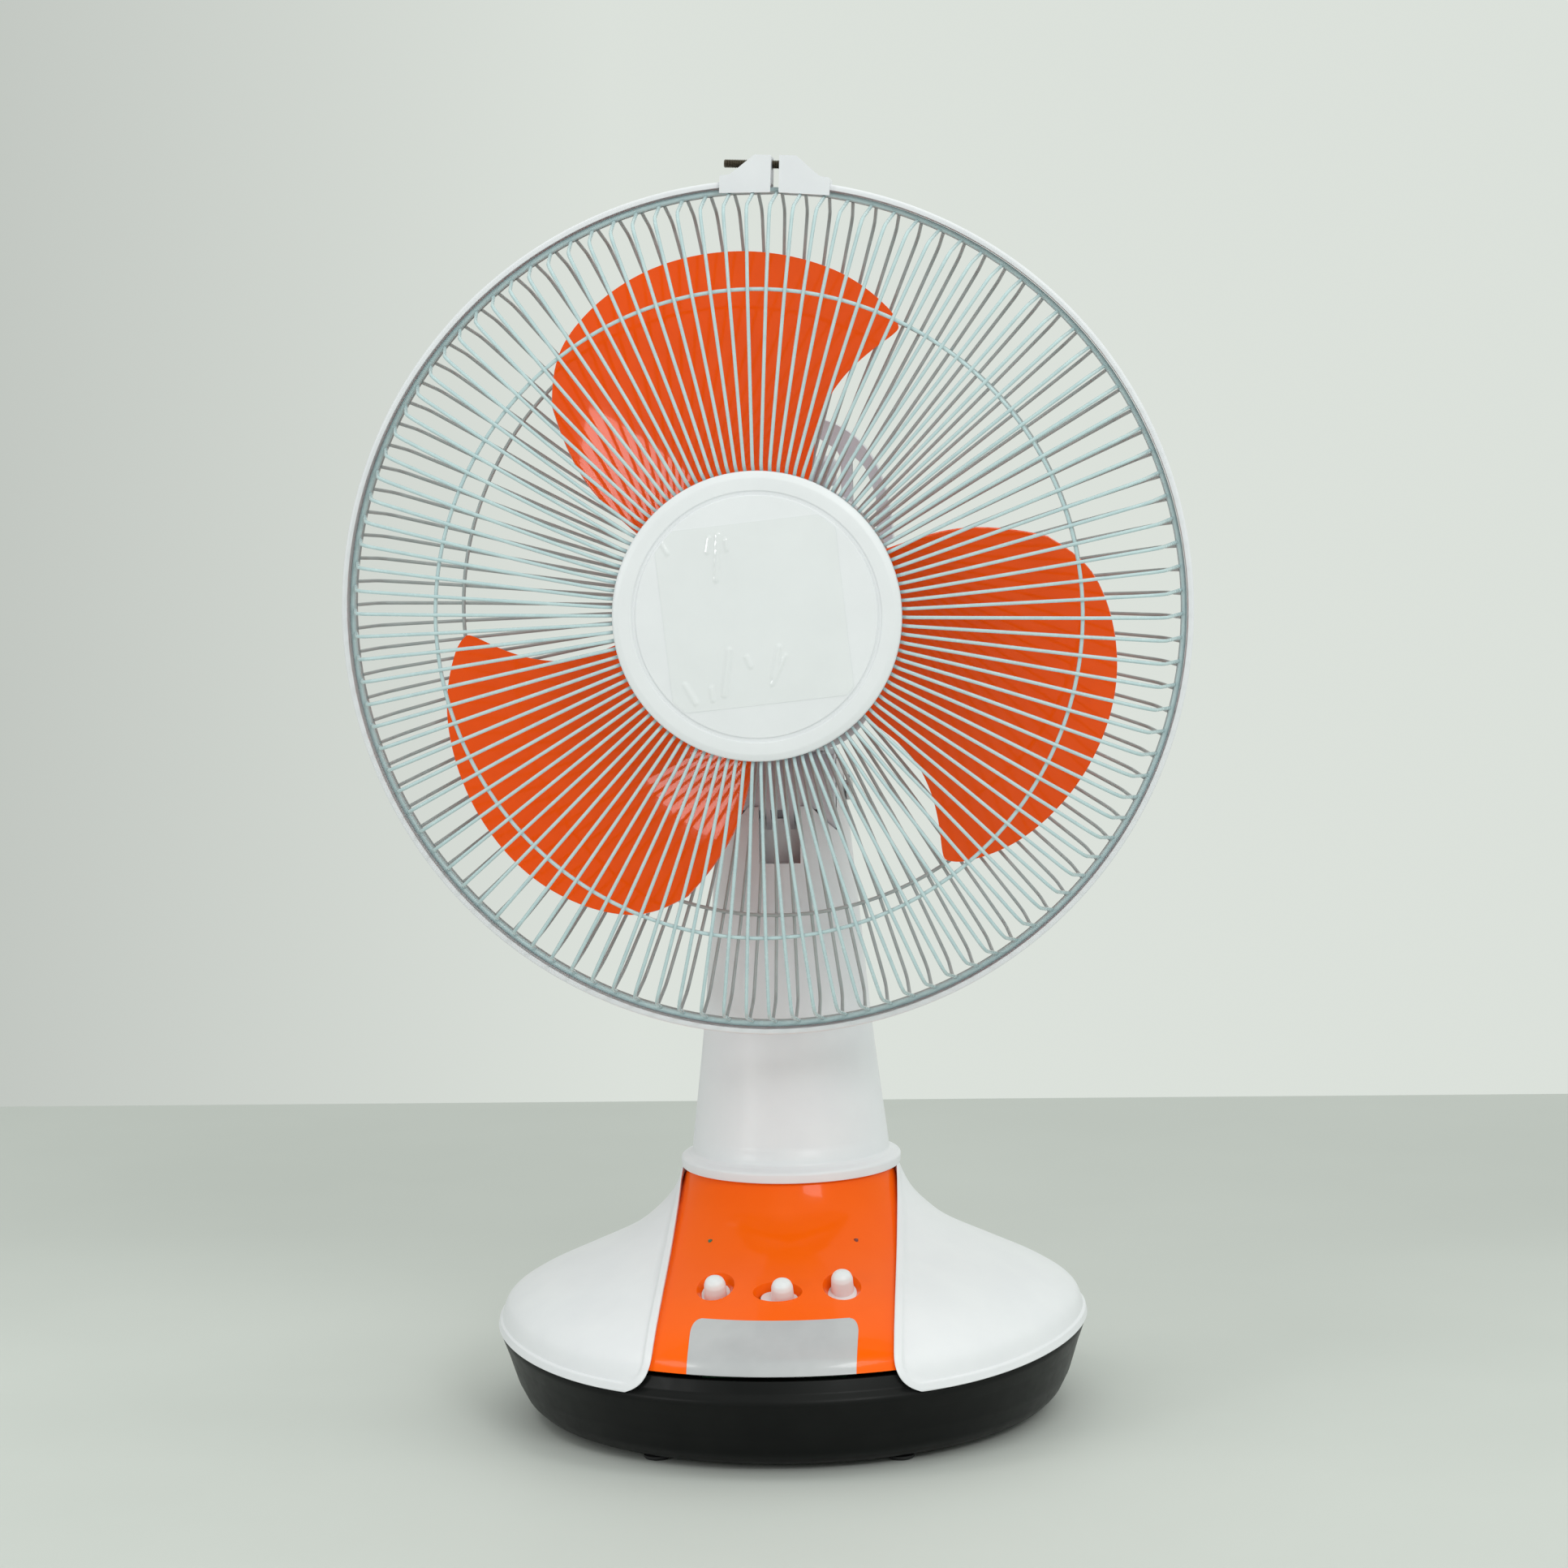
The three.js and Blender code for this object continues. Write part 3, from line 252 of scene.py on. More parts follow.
def cut(target, *cutters):
    """Takes the cutters away from the target and removes them."""
    for tool in cutters:
        step = target.modifiers.new("cut", "BOOLEAN")
        step.operation = "DIFFERENCE"
        step.solver = "EXACT"
        step.object = tool
    graph = bpy.context.evaluated_depsgraph_get()
    result = bpy.data.meshes.new_from_object(target.evaluated_get(graph))
    target.modifiers.clear()
    target.data = result
    for tool in cutters:
        bpy.data.objects.remove(tool)
    return target


def finish_piece(made, body, material, nodes=(), crease=38.0, bevel=0.0, segments=3):
    """Shading, edge rounding, material, body and the CAD nodes that the piece stands for."""
    mesh = made.data
    mesh.materials.clear()
    mesh.materials.append(material)
    mesh.polygons.foreach_set("use_smooth", [True] * len(mesh.polygons))
    work = bmesh.new()
    work.from_mesh(mesh)
    limit = math.radians(crease)
    for edge in work.edges:
        edge.smooth = not (len(edge.link_faces) == 2 and edge.calc_face_angle(0.0) > limit)
    work.to_mesh(mesh)
    work.free()
    if bevel:
        rounding = made.modifiers.new("rounding", "BEVEL")
        rounding.width = bevel * MM
        rounding.segments = segments
        rounding.limit_method = "ANGLE"
        rounding.angle_limit = math.radians(32)
        rounding.harden_normals = True
    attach(made, body)
    if nodes:
        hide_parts(*nodes)
    return made


def grid_faces(rows, columns, wrap_rows=False, wrap_columns=False, start=0):
    """Quads over a grid of vertices held row by row."""
    faces = []
    for i in range(rows if wrap_rows else rows - 1):
        for j in range(columns if wrap_columns else columns - 1):
            a, b = i * columns + j, i * columns + (j + 1) % columns
            k = ((i + 1) % rows) * columns
            faces.append((start + a, start + b, start + k + (j + 1) % columns, start + k + j))
    return faces


def slab_faces(rows, columns):
    """Faces of two equal grids, one vertex list after the other, joined by a wall round their edge."""
    count = rows * columns
    faces = grid_faces(rows, columns) + grid_faces(rows, columns, start=count)
    edge = [i * columns for i in range(rows)] + [(rows - 1) * columns + j for j in range(1, columns)]
    edge += [i * columns + columns - 1 for i in range(rows - 2, -1, -1)] + list(range(columns - 2, 0, -1))
    return faces + [(a, b, b + count, a + count) for a, b in zip(edge, edge[1:] + edge[:1])]


def fillet(points, radius, steps=5, loop=False):
    """The polyline with its corners rounded; radius is one value or one per point."""
    radii = [radius] * len(points) if np.isscalar(radius) else radius
    pts = [np.asarray(p, float) for p in points]
    out = []
    count = len(pts)
    for i, p in enumerate(pts):
        if not loop and i in (0, count - 1) or radii[i] <= 0:
            out.append(p)
            continue
        before, after = pts[i - 1] - p, pts[(i + 1) % count] - p
        la, lb = np.linalg.norm(before), np.linalg.norm(after)
        cosine = np.clip(before @ after / (la * lb), -1, 1)
        reach = min(radii[i] / max(math.tan(math.acos(cosine) / 2), 1e-6), 0.49 * la, 0.49 * lb)
        a, b = p + before / la * reach, p + after / lb * reach
        for k in range(steps + 1):
            t = k / steps
            out.append((1 - t) ** 2 * a + 2 * t * (1 - t) * p + t * t * b)
    return out


def turned(name, profile, axis="z", sides=96, origin=(0, 0, 0)):
    """A turned solid. The profile holds (radius, height) pairs, on the axis at both ends or a loop."""
    loop = profile[0][0] > 1e-6 and profile[-1][0] > 1e-6
    angle = np.linspace(0, 2 * math.pi, sides, endpoint=False)
    verts = []
    for radius, height in profile:
        u, v = radius * np.cos(angle), radius * np.sin(angle)
        h = np.full(sides, height)
        verts.append(np.stack({"x": (h, u, v), "y": (u, h, v), "z": (u, v, h)}[axis], 1))
    faces = grid_faces(len(profile), sides, wrap_rows=loop, wrap_columns=True)
    return place_mesh(name, np.concatenate(verts), faces, origin)


def extruded(name, outline, y0, y1, origin=(0, 0, 0), spin=0.0):
    """An outline in X and Z between two depths, turned about Y by spin degrees clockwise."""
    flat = np.array([(x, 0, z) for x, z in outline], float)
    c, s = math.cos(math.radians(spin)), math.sin(math.radians(spin))
    flat = np.stack((flat[:, 0] * c + flat[:, 2] * s, flat[:, 1], flat[:, 2] * c - flat[:, 0] * s), 1)
    count = len(outline)
    verts = np.concatenate((flat + (0, y0, 0), flat + (0, y1, 0)))
    faces = [list(range(count)), list(range(2 * count - 1, count - 1, -1))]
    return place_mesh(name, verts, faces + grid_faces(2, count, wrap_columns=True), origin)


def block(x0, x1, y0, y1, z0, z1, origin=(0, 0, 0)):
    """A box, mostly for cutting."""
    return extruded("tool", [(x0, z0), (x1, z0), (x1, z1), (x0, z1)], y0, y1, origin)


def rod(radius, a, b, axis="z", origin=(0, 0, 0), sides=48):
    """A round bar for cutting, from a to b along the axis."""
    return turned("tool", [(0, a), (radius, a), (radius, b), (0, b)], axis, sides, origin)


def tube(path, radius, sides=8, closed=False):
    """Vertices and faces of a round wire along a path."""
    path = np.asarray(path, float)
    ahead = np.roll(path, -1, 0) - path
    behind = path - np.roll(path, 1, 0)
    along = ahead + behind
    if not closed:
        along[0], along[-1] = ahead[0], behind[-1]
    along /= np.linalg.norm(along, axis=1)[:, None]
    side = np.cross(along[0], (0.31, 0.55, 0.77))
    angle = np.linspace(0, 2 * math.pi, sides, endpoint=False)
    rings = []
    for point, direction in zip(path, along):
        side = side - direction * (side @ direction)
        side /= np.linalg.norm(side)
        other = np.cross(direction, side)
        rings.append(point + radius * (np.outer(np.cos(angle), side) + np.outer(np.sin(angle), other)))
    faces = grid_faces(len(path), sides, wrap_rows=closed, wrap_columns=True)
    if not closed:
        last = (len(path) - 1) * sides
        faces += [list(range(sides)), [last + k for k in range(sides)]]
    return np.concatenate(rings), faces


def ring_path(radius, y, count):
    angle = np.linspace(0, 2 * math.pi, count, endpoint=False)
    return np.stack((radius * np.sin(angle), np.full(count, y), radius * np.cos(angle)), 1)


def gather(parts):
    """Joins (vertices, faces) pairs into one."""
    verts, faces, start = [], [], 0
    for points, polygons in parts:
        verts.append(points)
        faces += [[start + k for k in f] for f in polygons]
        start += len(points)
    return np.concatenate(verts), faces


def ease(share):
    """A smooth step from 0 to 1."""
    return share * share * (3 - 2 * share)


def catmull(points, t):
    """Uniform Catmull-Rom curve through the points, t from 0 to 1."""
    pts = np.asarray(points, float)
    last = len(pts) - 1
    s = np.clip(t, 0, 1) * last
    i = min(int(s), last - 1)
    w = s - i
    p0, p1 = pts[i if i == 0 else i - 1], pts[i]
    p2, p3 = pts[min(i + 1, last)], pts[min(i + 2, last)]
    v0, v1 = (p2 - p0) / 2, (p3 - p1) / 2
    return (2 * p1 - 2 * p2 + v0 + v1) * w ** 3 + (3 * p2 - 3 * p1 - 2 * v0 - v1) * w ** 2 + v0 * w + p1


# -------- base surface
# The wings' outer surface, (radius, height) from the flange down to the lower rim.
SHELL = [(47.6, 104), (53, 92.5), (62, 83), (74, 74.5), (96, 63.5), (113, 54.5), (124, 45.5), (128, 33.8)]
SHELL_THICK = 2.5
LIP_Z = 33.8
PANEL_DEPTH = 2.4  # the orange panel lies this far below the wings' surface
PANEL_END_Z = 42.5  # its front edge


def ring_centre(radius):
    """The rings of the surface are centred on the column at the flange and on the base at the rim."""
    return COLUMN_Y * (1 - min(max((radius - 48) / 80, 0), 1))


def shell_profile(u, depth):
    """(radius, height, ring centre) of the base surface moved inwards by depth."""
    point = catmull(SHELL, u)
    along = catmull(SHELL, min(u + 1e-3, 1)) - catmull(SHELL, max(u - 1e-3, 0))
    along /= np.linalg.norm(along)
    radius, height = point[0] + along[1] * depth, point[1] - along[0] * depth
    return radius, height, ring_centre(point[0])


ARCH_RISE = 5.5  # how far the rim is higher at the sides than at the front
ARCH_SPREAD = 60  # degrees either side of the highest point


def arch_sides(points, still, moved):
    """Lift the rim at both sides of the base: nothing at one height, and all of it at the other."""
    turn = np.degrees(np.arctan2(np.abs(points[:, 0]), -points[:, 1]))
    along = np.clip(1 - np.abs(turn - 90) / ARCH_SPREAD, 0, 1)
    share = np.clip((points[:, 2] - still) / (moved - still), 0, 1)
    points[:, 2] += ARCH_RISE * ease(along) * ease(share)
    return points


def front_place(x, r, depth):
    """The surface point at radius r and sideways offset x, with its slope."""
    u = 0.0
    while catmull(SHELL, u)[0] < r:
        u += 0.002
    point = catmull(SHELL, u)
    along = catmull(SHELL, u + 1e-3) - catmull(SHELL, u - 1e-3)
    slope = math.atan2(-along[1], along[0])
    y = ring_centre(r) - math.sqrt(r * r - x * x)
    return np.array((x, y + depth * math.sin(slope), point[1] - depth * math.cos(slope))), slope


# The wings' front opening, (half width, height): nearly straight sides, then a corner that sweeps out.
OPENING_TOP, OPENING_BEND = (46.3, 109.4), (49.4, 48.0)
CORNER = np.array([
    [(1 - t) ** 2 * a + 2 * t * (1 - t) * b + t * t * c
     for a, b, c in zip(OPENING_BEND, (50.9, 33.8), (66.4, 32.8))] for t in np.linspace(0, 1, 60)])


def opening_half(z):
    """Half width of the front opening at a height."""
    (wide_top, top), (wide_bend, bend) = OPENING_TOP, OPENING_BEND
    if z >= bend:
        return wide_top + (wide_bend - wide_top) * (top - z) / (top - bend)
    return float(np.interp(-z, -CORNER[:, 1], CORNER[:, 0]))


EDGE_STRIP = 3.1  # a flat strip this wide runs round the opening and the lower rim
STRIP_STEP = 0.95  # and the wing's surface lies this far below it


def make_shell():
    """The white upper shell: two wings that meet behind the column, open in front for the panel."""
    rows = np.concatenate((np.linspace(0, 0.8, 60), np.linspace(0.805, 1, 46)))
    reach = np.array([0, 0.35, 0.8, 1.6, 2.5, EDGE_STRIP, 3.45, 3.8, 4.2, 5.2, 8.0])
    spare, far_columns = 0.4, 111

    def sheet(depth):
        grid = []
        for u in rows:
            r, z, centre = shell_profile(u, depth)
            half = min(opening_half(max(z, LIP_Z) if u > 0.5 else z), r - spare)
            near = math.asin(half / r) + reach / r
            far = near[-1] + (math.pi - near[-1]) * np.linspace(0, 1, far_columns)[1:]
            angle = np.concatenate((near, far))
            angle = np.concatenate((angle, 2 * math.pi - angle[-2::-1]))
            grid.append(np.stack((r * np.sin(angle), centre - r * np.cos(angle), np.full(len(angle), z)), 1))
        return np.array(grid)

    outer, inner = sheet(0.0), sheet(SHELL_THICK)
    count = outer.shape[1]
    middles = (outer[-1, 1:] + outer[-1, :-1]) / 2
    rim = np.concatenate((outer[:, 0], outer[-1], middles, outer[:, -1]))
    flat = outer.reshape(-1, 3)
    gap = np.full(len(flat), 99.0)
    for chunk in np.array_split(np.arange(len(flat)), 40):
        gap[chunk] = np.min(np.linalg.norm(flat[chunk, None] - rim[None], axis=2), axis=1)
    rounding, rounding_width = 0.35, 0.7
    drop = STRIP_STEP * ease(np.clip(gap - EDGE_STRIP, 0, 1))
    drop += rounding * np.clip(1 - gap / rounding_width, 0, 1) ** 2
    flat = flat + ((inner.reshape(-1, 3) - flat) * (drop / SHELL_THICK)[:, None])
    under_flange = 103.5
    inner[:, :, 2] = np.minimum(inner[:, :, 2], under_flange)
    verts = arch_sides(np.concatenate((flat, inner.reshape(-1, 3))), still=78.0, moved=36.0)
    made = place_mesh("base_wings", verts, slab_faces(len(rows), count))
    finish_piece(made, "base", WHITE, ["base_shell"], crease=40)


# Each switch: its place on the panel, its lever's offset at rest, and the half axes of its well at the
# panel's surface and at its floor.
SWITCHES = [
    {"name": "led", "x": -26.4, "r": 83.0, "rest": (0, -1.5), "outer": (8.0, 9.5), "inner": (5.9, 7.3)},
    {"name": "speed", "x": 0.0, "r": 84.5, "rest": (2, 0), "outer": (10.3, 6.75), "inner": (8.3, 4.9)},
    {"name": "power", "x": 26.4, "r": 83.0, "rest": (0, 2), "outer": (8.0, 9.5), "inner": (5.9, 7.3)},
]


WELL_SPACING = 28.0
# The well's wall from its rim to its floor: share of the way from outer to inner, and depth.
WELL_WALL = ((0.03, 0.12), (0.10, 0.35), (0.5, 1.9), (0.93, 3.5), (1.0, 3.9), (1.0, 5.0))


def switch_axes(item):
    """The middle of a switch on the panel, the uphill direction there and the outward normal."""
    place, slope = front_place(item["x"], item["r"], PANEL_DEPTH)
    uphill = np.array((0, math.cos(slope), math.sin(slope)))
    normal = np.array((0, -math.sin(slope), math.cos(slope)))
    return place, uphill, normal


def panel_surface(u, shares, depth, half):
    """One row of points across the panel, shares from -1 at its left edge to 1 at its right."""
    r, z, centre = shell_profile(u, depth)
    x = shares * min(half(z), r - 0.2)
    return np.stack((x, centre - np.sqrt(r * r - x * x), np.full(len(x), z)), 1)


def profile_at(z, depth):
    """The profile parameter where the surface at this depth has height z."""
    low, high = 0.0, 1.0
    for _ in range(40):
        mid = (low + high) / 2
        low, high = (mid, high) if shell_profile(mid, depth)[1] > z else (low, mid)
    return (low + high) / 2


def make_panel():
    """The orange panel, with a sloping-walled well for each switch and a strip that turns down in front."""
    rows, columns = 132, 151
    us = np.linspace(0.0, profile_at(PANEL_END_Z, PANEL_DEPTH), rows)
    shares = np.linspace(-1, 1, columns)
    side_gap = 0.04
    half = lambda z: opening_half(max(z, PANEL_END_Z)) - side_gap
    sheet = [panel_surface(u, shares, PANEL_DEPTH, half) for u in us]
    sheet[0] = sheet[0] + (0, 1.2, 1.6)  # the top edge runs up under the flange
    top = np.concatenate(sheet)
    work = bmesh.new()
    verts = [work.verts.new(p) for p in top]
    for face in grid_faces(rows, columns):
        work.faces.new([verts[k] for k in face])
    work.verts.index_update()
    for item in SWITCHES:
        place, uphill, normal = switch_axes(item)
        (ax, by), inner = item["outer"], item["inner"]

        def local(p):
            """A point as shares of the well's half axes."""
            d = np.array(p) - place
            return d[0] / ax, d @ uphill / by

        def within(p, limit):
            return abs(p.x - item["x"]) < WELL_SPACING / 2 and math.hypot(*local(p)) < limit

        doomed = [face for face in work.faces if within(face.calc_center_median(), 1.0)]
        bmesh.ops.delete(work, geom=doomed, context="FACES")
        border = [edge for edge in work.edges if len(edge.link_faces) == 1]
        rim = {vert for edge in border for vert in edge.verts if within(vert.co, 1.5)}
        order = sorted(rim, key=lambda v: math.atan2(*local(v.co)))
        for vert in order:
            a, b = local(vert.co)
            size = math.hypot(a, b)
            target = place + np.array((ax * a / size, 0, 0)) + uphill * (by * b / size)
            lift = (np.array(vert.co) - place) @ normal
            vert.co = Vector(target + normal * lift)
        previous = order
        for share, sink in WELL_WALL:
            ring = []
            for vert in order:
                a, b = local(vert.co)
                wide = ax + (inner[0] - ax) * share
                tall = by + (inner[1] - by) * share
                spot = place + np.array((wide * a, 0, 0)) + uphill * (tall * b)
                lift = (np.array(vert.co) - place) @ normal * (1 - share)
                ring.append(work.verts.new(spot + normal * (lift - sink)))
            for k in range(len(order)):
                n = (k + 1) % len(order)
                work.faces.new((previous[k], previous[n], ring[n], ring[k]))
            previous = ring
    # The front edge turns back into the base.
    for edge in [e for e in work.edges if len(e.link_faces) == 1]:
        if all(abs(v.co.z - PANEL_END_Z) < 0.02 for v in edge.verts):
            a, b = edge.verts
            low = [work.verts.new(v.co + Vector((0, 2.2, -0.3))) for v in (a, b)]
            work.faces.new((a, b, low[1], low[0]))
    bmesh.ops.scale(work, verts=work.verts, vec=(MM, MM, MM))
    made = clean_object("control_fascia", bpy.data.meshes.new("control_fascia"), work)
    finish_piece(made, "base", PANEL, ["control_panel"], crease=50)


def make_diffuser():
    """The milky window of the night light, a hair proud of the panel, with its upper corners rounded."""
    top_z, corner, half_width, proud, sunk = 59.0, 4.0, 34.5, 0.14, 1.2

    def half(z):
        rise = max((z - top_z + corner) / corner, 0)
        return half_width + corner * (math.sqrt(max(1 - rise * rise, 0)) - 1)
    first, last = profile_at(top_z, PANEL_DEPTH), profile_at(PANEL_END_Z, PANEL_DEPTH)
    us = first + (last - first) * np.linspace(0, 1, 46) ** 1.5
    shares = np.linspace(-1, 1, 71)
    sheets = [panel_surface(u, shares, PANEL_DEPTH + depth, half) for depth in (-proud, sunk) for u in us]
    made = place_mesh("lamp_window", np.concatenate(sheets), slab_faces(len(us), len(shares)))
    finish_piece(made, "base", MILKY, ["light_diffuser"], crease=45)


def make_levers():
    """The slide levers: a domed peg on a thin plate that covers the well's floor."""
    sides = 40
    angle = np.linspace(0, 2 * math.pi, sides, endpoint=False)
    cosine, sine = np.cos(angle), np.sin(angle)
    peg = fillet([(0, -4.4), (4.8, -4.4), (4.8, -3.4), (4.6, 0), (4.5, 2.6), (3.8, 4.6), (2.2, 5.7),
                  (0.8, 6.0), (0, 6.0)], [0, 0, 0.3, 0.3, 2.6, 2.5, 2, 0.5, 0], 4)
    rings = [np.stack((r * cosine, r * sine, np.full(sides, h)), 1) for r, h in peg]
    square, plate_top, plate_foot = 0.8, -3.7, -4.5
    for item in SWITCHES:
        place, uphill, normal = switch_axes(item)
        parts = [(np.concatenate(rings), grid_faces(len(peg), sides, wrap_columns=True))]
        wide, tall = item["inner"][0] + 0.9, item["inner"][1] + 0.4
        plate = [np.stack((wide * np.copysign(abs(cosine) ** square, cosine),
                           tall * np.copysign(abs(sine) ** square, sine), np.full(sides, h)), 1)
                 for h in (plate_top, plate_foot)]
        caps = [list(range(sides)), list(range(sides, 2 * sides))]
        parts.append((np.concatenate(plate), caps + grid_faces(2, sides, wrap_columns=True)))
        verts, faces = gather(parts)
        verts = verts + (item["rest"][0], item["rest"][1], 0)
        world = place + verts[:, :1] * np.array((1, 0, 0)) + verts[:, 1:2] * uphill + verts[:, 2:] * normal
        name = item["name"]
        made = place_mesh(f"{name}_peg", world, faces)
        finish_piece(made, f"{name}_lever", SATIN_WHITE, [f"{name}_switch_lever"], crease=50)


def make_lamps():
    dome = fillet([(0, -3), (0.95, -3), (0.95, 0.25), (0, 0.5)], [0, 0, 0.4, 0], 4)
    for name, x, material in (("power", -30.9, GREEN_LENS), ("charge", 30.9, RED_LENS)):
        place, _ = front_place(x, 62, PANEL_DEPTH)
        lens = turned(f"{name}_lens", dome, "z", 32, place)
        finish_piece(lens, "base", material, [f"{name}_lamp"])


def make_tub():
    """The black lower bowl with the charge inlet's opening at the back, and its rubber feet."""
    profile = fillet([
        (0, 1.5), (102, 1.5), (110.5, 2.8), (116.0, 8.0), (120.2, 16), (124.2, 25.6), (127.2, 32.2),
        (124.5, 35.6), (122.9, 40.6), (119.8, 40.6), (121, 30), (116, 14), (104, 6.3), (0, 6.3),
    ], [0, 14, 12, 12, 20, 20, 3.4, 3.0, 0.5, 0.5, 8, 8, 8, 0], 8)
    tub = turned("tub_bowl", profile, "z", 160)
    places = np.array([v.co for v in tub.data.vertices]) / MM
    tub.data.vertices.foreach_set("co", (arch_sides(places, still=12.0, moved=33.0) * MM).ravel())
    cut(tub, block(-10.4, 10.4, 100, 140, 14.6, 29.4))
    finish_piece(tub, "base", BLACK, ["base_tub"], crease=35)
    pad = fillet([(0, 0), (4.8, 0), (5.6, 0.8), (5.6, 1.7), (0, 1.7)], [0, 0.6, 0.5, 0, 0], 4)
    for where in ("front_left", "front_right", "rear_left", "rear_right"):
        low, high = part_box(f"foot_{where}")
        middle = (low + high) / 2 / MM
        foot = turned(f"rubber_{where}", pad, "z", 40, (middle.x, middle.y, 0))
        finish_piece(foot, "base", RUBBER, [f"foot_{where}"])


make_shell()
make_panel()
make_diffuser()
make_levers()
make_lamps()
make_tub()


# -------- column and neck
def ellipse_rings(rings, sides, y):
    """Points of level ellipses centred at depth y, each with half axes a and b at height z."""
    angle = np.linspace(0, 2 * math.pi, sides, endpoint=False)
    return np.concatenate([
        np.stack((a * np.cos(angle), y + b * np.sin(angle), np.full(sides, z)), 1) for a, b, z in rings])


def make_column():
    """The hollow stand: a rolled flange, a tapering oval shaft and the fork that holds the neck."""
    flange = fillet([(45, 103.2), (47.6, 103.8), (48, 108.0), (44.6, 109.3), (42.9, 110.4), (42.5, 115)],
                    [0, 0.5, 1.5, 0.8, 1.6, 0], 6)
    rings = [(r, r, z) for r, z in flange]
    stations = [(43.4, 43.4, 105), (42.9, 42.6, 111.6), (36.8, 34.2, 163),
                (32.1, 29, 215), (27.6, 24.6, 262), (26, 23, 281)]
    shaft = [catmull(stations, t) for t in np.linspace(0, 1, 90)]
    rings += [(a, b, z) for a, b, z in shaft if z > 115.5]
    wall, sides = 2.6, 128
    loop = rings + [(a - wall, b - wall, z) for a, b, z in rings[::-1] if z > 150] + [(40, 40, 103.2)]
    verts = ellipse_rings(loop, sides, COLUMN_Y)
    made = place_mesh("column_shell", verts, grid_faces(len(loop), sides, True, True))
    inside, ear, lip, cradle = 23.9, 13.0, 262.0, 22.3
    cut(
        made,
        block(-inside, inside, -60, 60, lip, 300),
        rod(cradle, -inside, inside, "x", NECK, 96),
        block(-60, 60, COLUMN_Y + ear, 80, lip, 300),
        block(-60, 60, -60, COLUMN_Y - ear, lip, 300),
        block(-8.8, 8.8, -60, COLUMN_Y, 238, lip + 1),
        rod(TILT_PIN_HOLE, -60, 60, "x", NECK, 32),
    )
    finish_piece(made, "base", WHITE, ["column"], crease=32)
    # Behind the slot in the column's front, so that one doesn't look into the hollow.
    web = block(-19, 19, -13.5, -11.5, 222, 256, (0, COLUMN_Y, 0))
    web.name = "column_web"
    finish_piece(web, "base", SATIN_WHITE)
    pin = turned("tilt_pin_finished", fillet([
        (0, -30.2), (4.6, -30.2), (5.6, -29.4), (5.6, -27.6), (3, -27.6),
        (3, 27.6), (5.6, 27.6), (5.6, 29.4), (4.6, 30.2), (0, 30.2)], 0.3, 3), "x", 48, NECK)
    finish_piece(pin, "base", STEEL, ["tilt_pin"])


def make_neck():
    """The drum in the column's fork: three pockets in front, a flat top and the swivel's bore."""
    half, radius, post_hole = 23.6, 21.5, 5.3
    outline = fillet([(0, -half), (radius, -half), (radius, half), (0, half)], [0, 0.7, 0.7, 0], 3)
    drum = turned("neck_block", outline, "x", 128, NECK)
    pockets = [block(left, right, -30, -10, -26, -7.5, NECK) for left, right in ((-17, -6), (-4, 4), (6, 17))]
    cut(
        drum, *pockets, block(-30, 30, -30, 30, 15.6, 40, NECK),
        rod(TILT_PIN_HOLE, -40, 40, "x", NECK, 32), rod(post_hole, 4, 40, "z", NECK, 48),
    )
    finish_piece(drum, "neck", HEAD_WHITE_PAINTED_SHADE, ["neck_drum"], crease=30)


make_column()
make_neck()


# -------- head: housings and handle
def rounded_section(a, low, top, power):
    """A rounded rectangle of half width a between two heights; a higher power is squarer."""
    angle = np.linspace(0, 2 * math.pi, 112, endpoint=False)
    shaped = lambda v: np.sign(v) * np.abs(v) ** (2 / power)
    middle, half = (low + top) / 2, (top - low) / 2
    return a * shaped(np.cos(angle)), middle + half * shaped(np.sin(angle))


def section_skin(name, sections):
    """A closed skin over rounded sections at rising depths, in the head's own frame."""
    verts = []
    for y, a, low, top, power in sections:
        x, z = rounded_section(a, low, top, power)
        verts.append(np.stack((x, np.full(len(x), y), z), 1))
    count = len(verts[0])
    last = (len(verts) - 1) * count
    faces = grid_faces(len(verts), count, wrap_columns=True)
    faces += [list(range(count)), [last + k for k in range(count)]]
    return place_mesh(name, np.concatenate(verts), faces, HEAD)


def cover_sections(depth, y0):
    """Sections of the domed rear cover from y0 back, moved inwards by depth."""
    back = 80
    stages = [(y0, 1.0), (26, 1.0), (42, 0.985), (58, 0.905), (70, 0.755), (77, 0.60), (back, 0.42)]
    out = []
    for t in np.linspace(0, 1, 40):
        y, share = catmull(stages, t)
        share = min(share, 1.0)
        out.append((min(y, back) - (depth if y > y0 + 0.1 else 0), 47 * share - depth, -58 * share + depth,
                    50 * share - depth, 2.5))
    return out


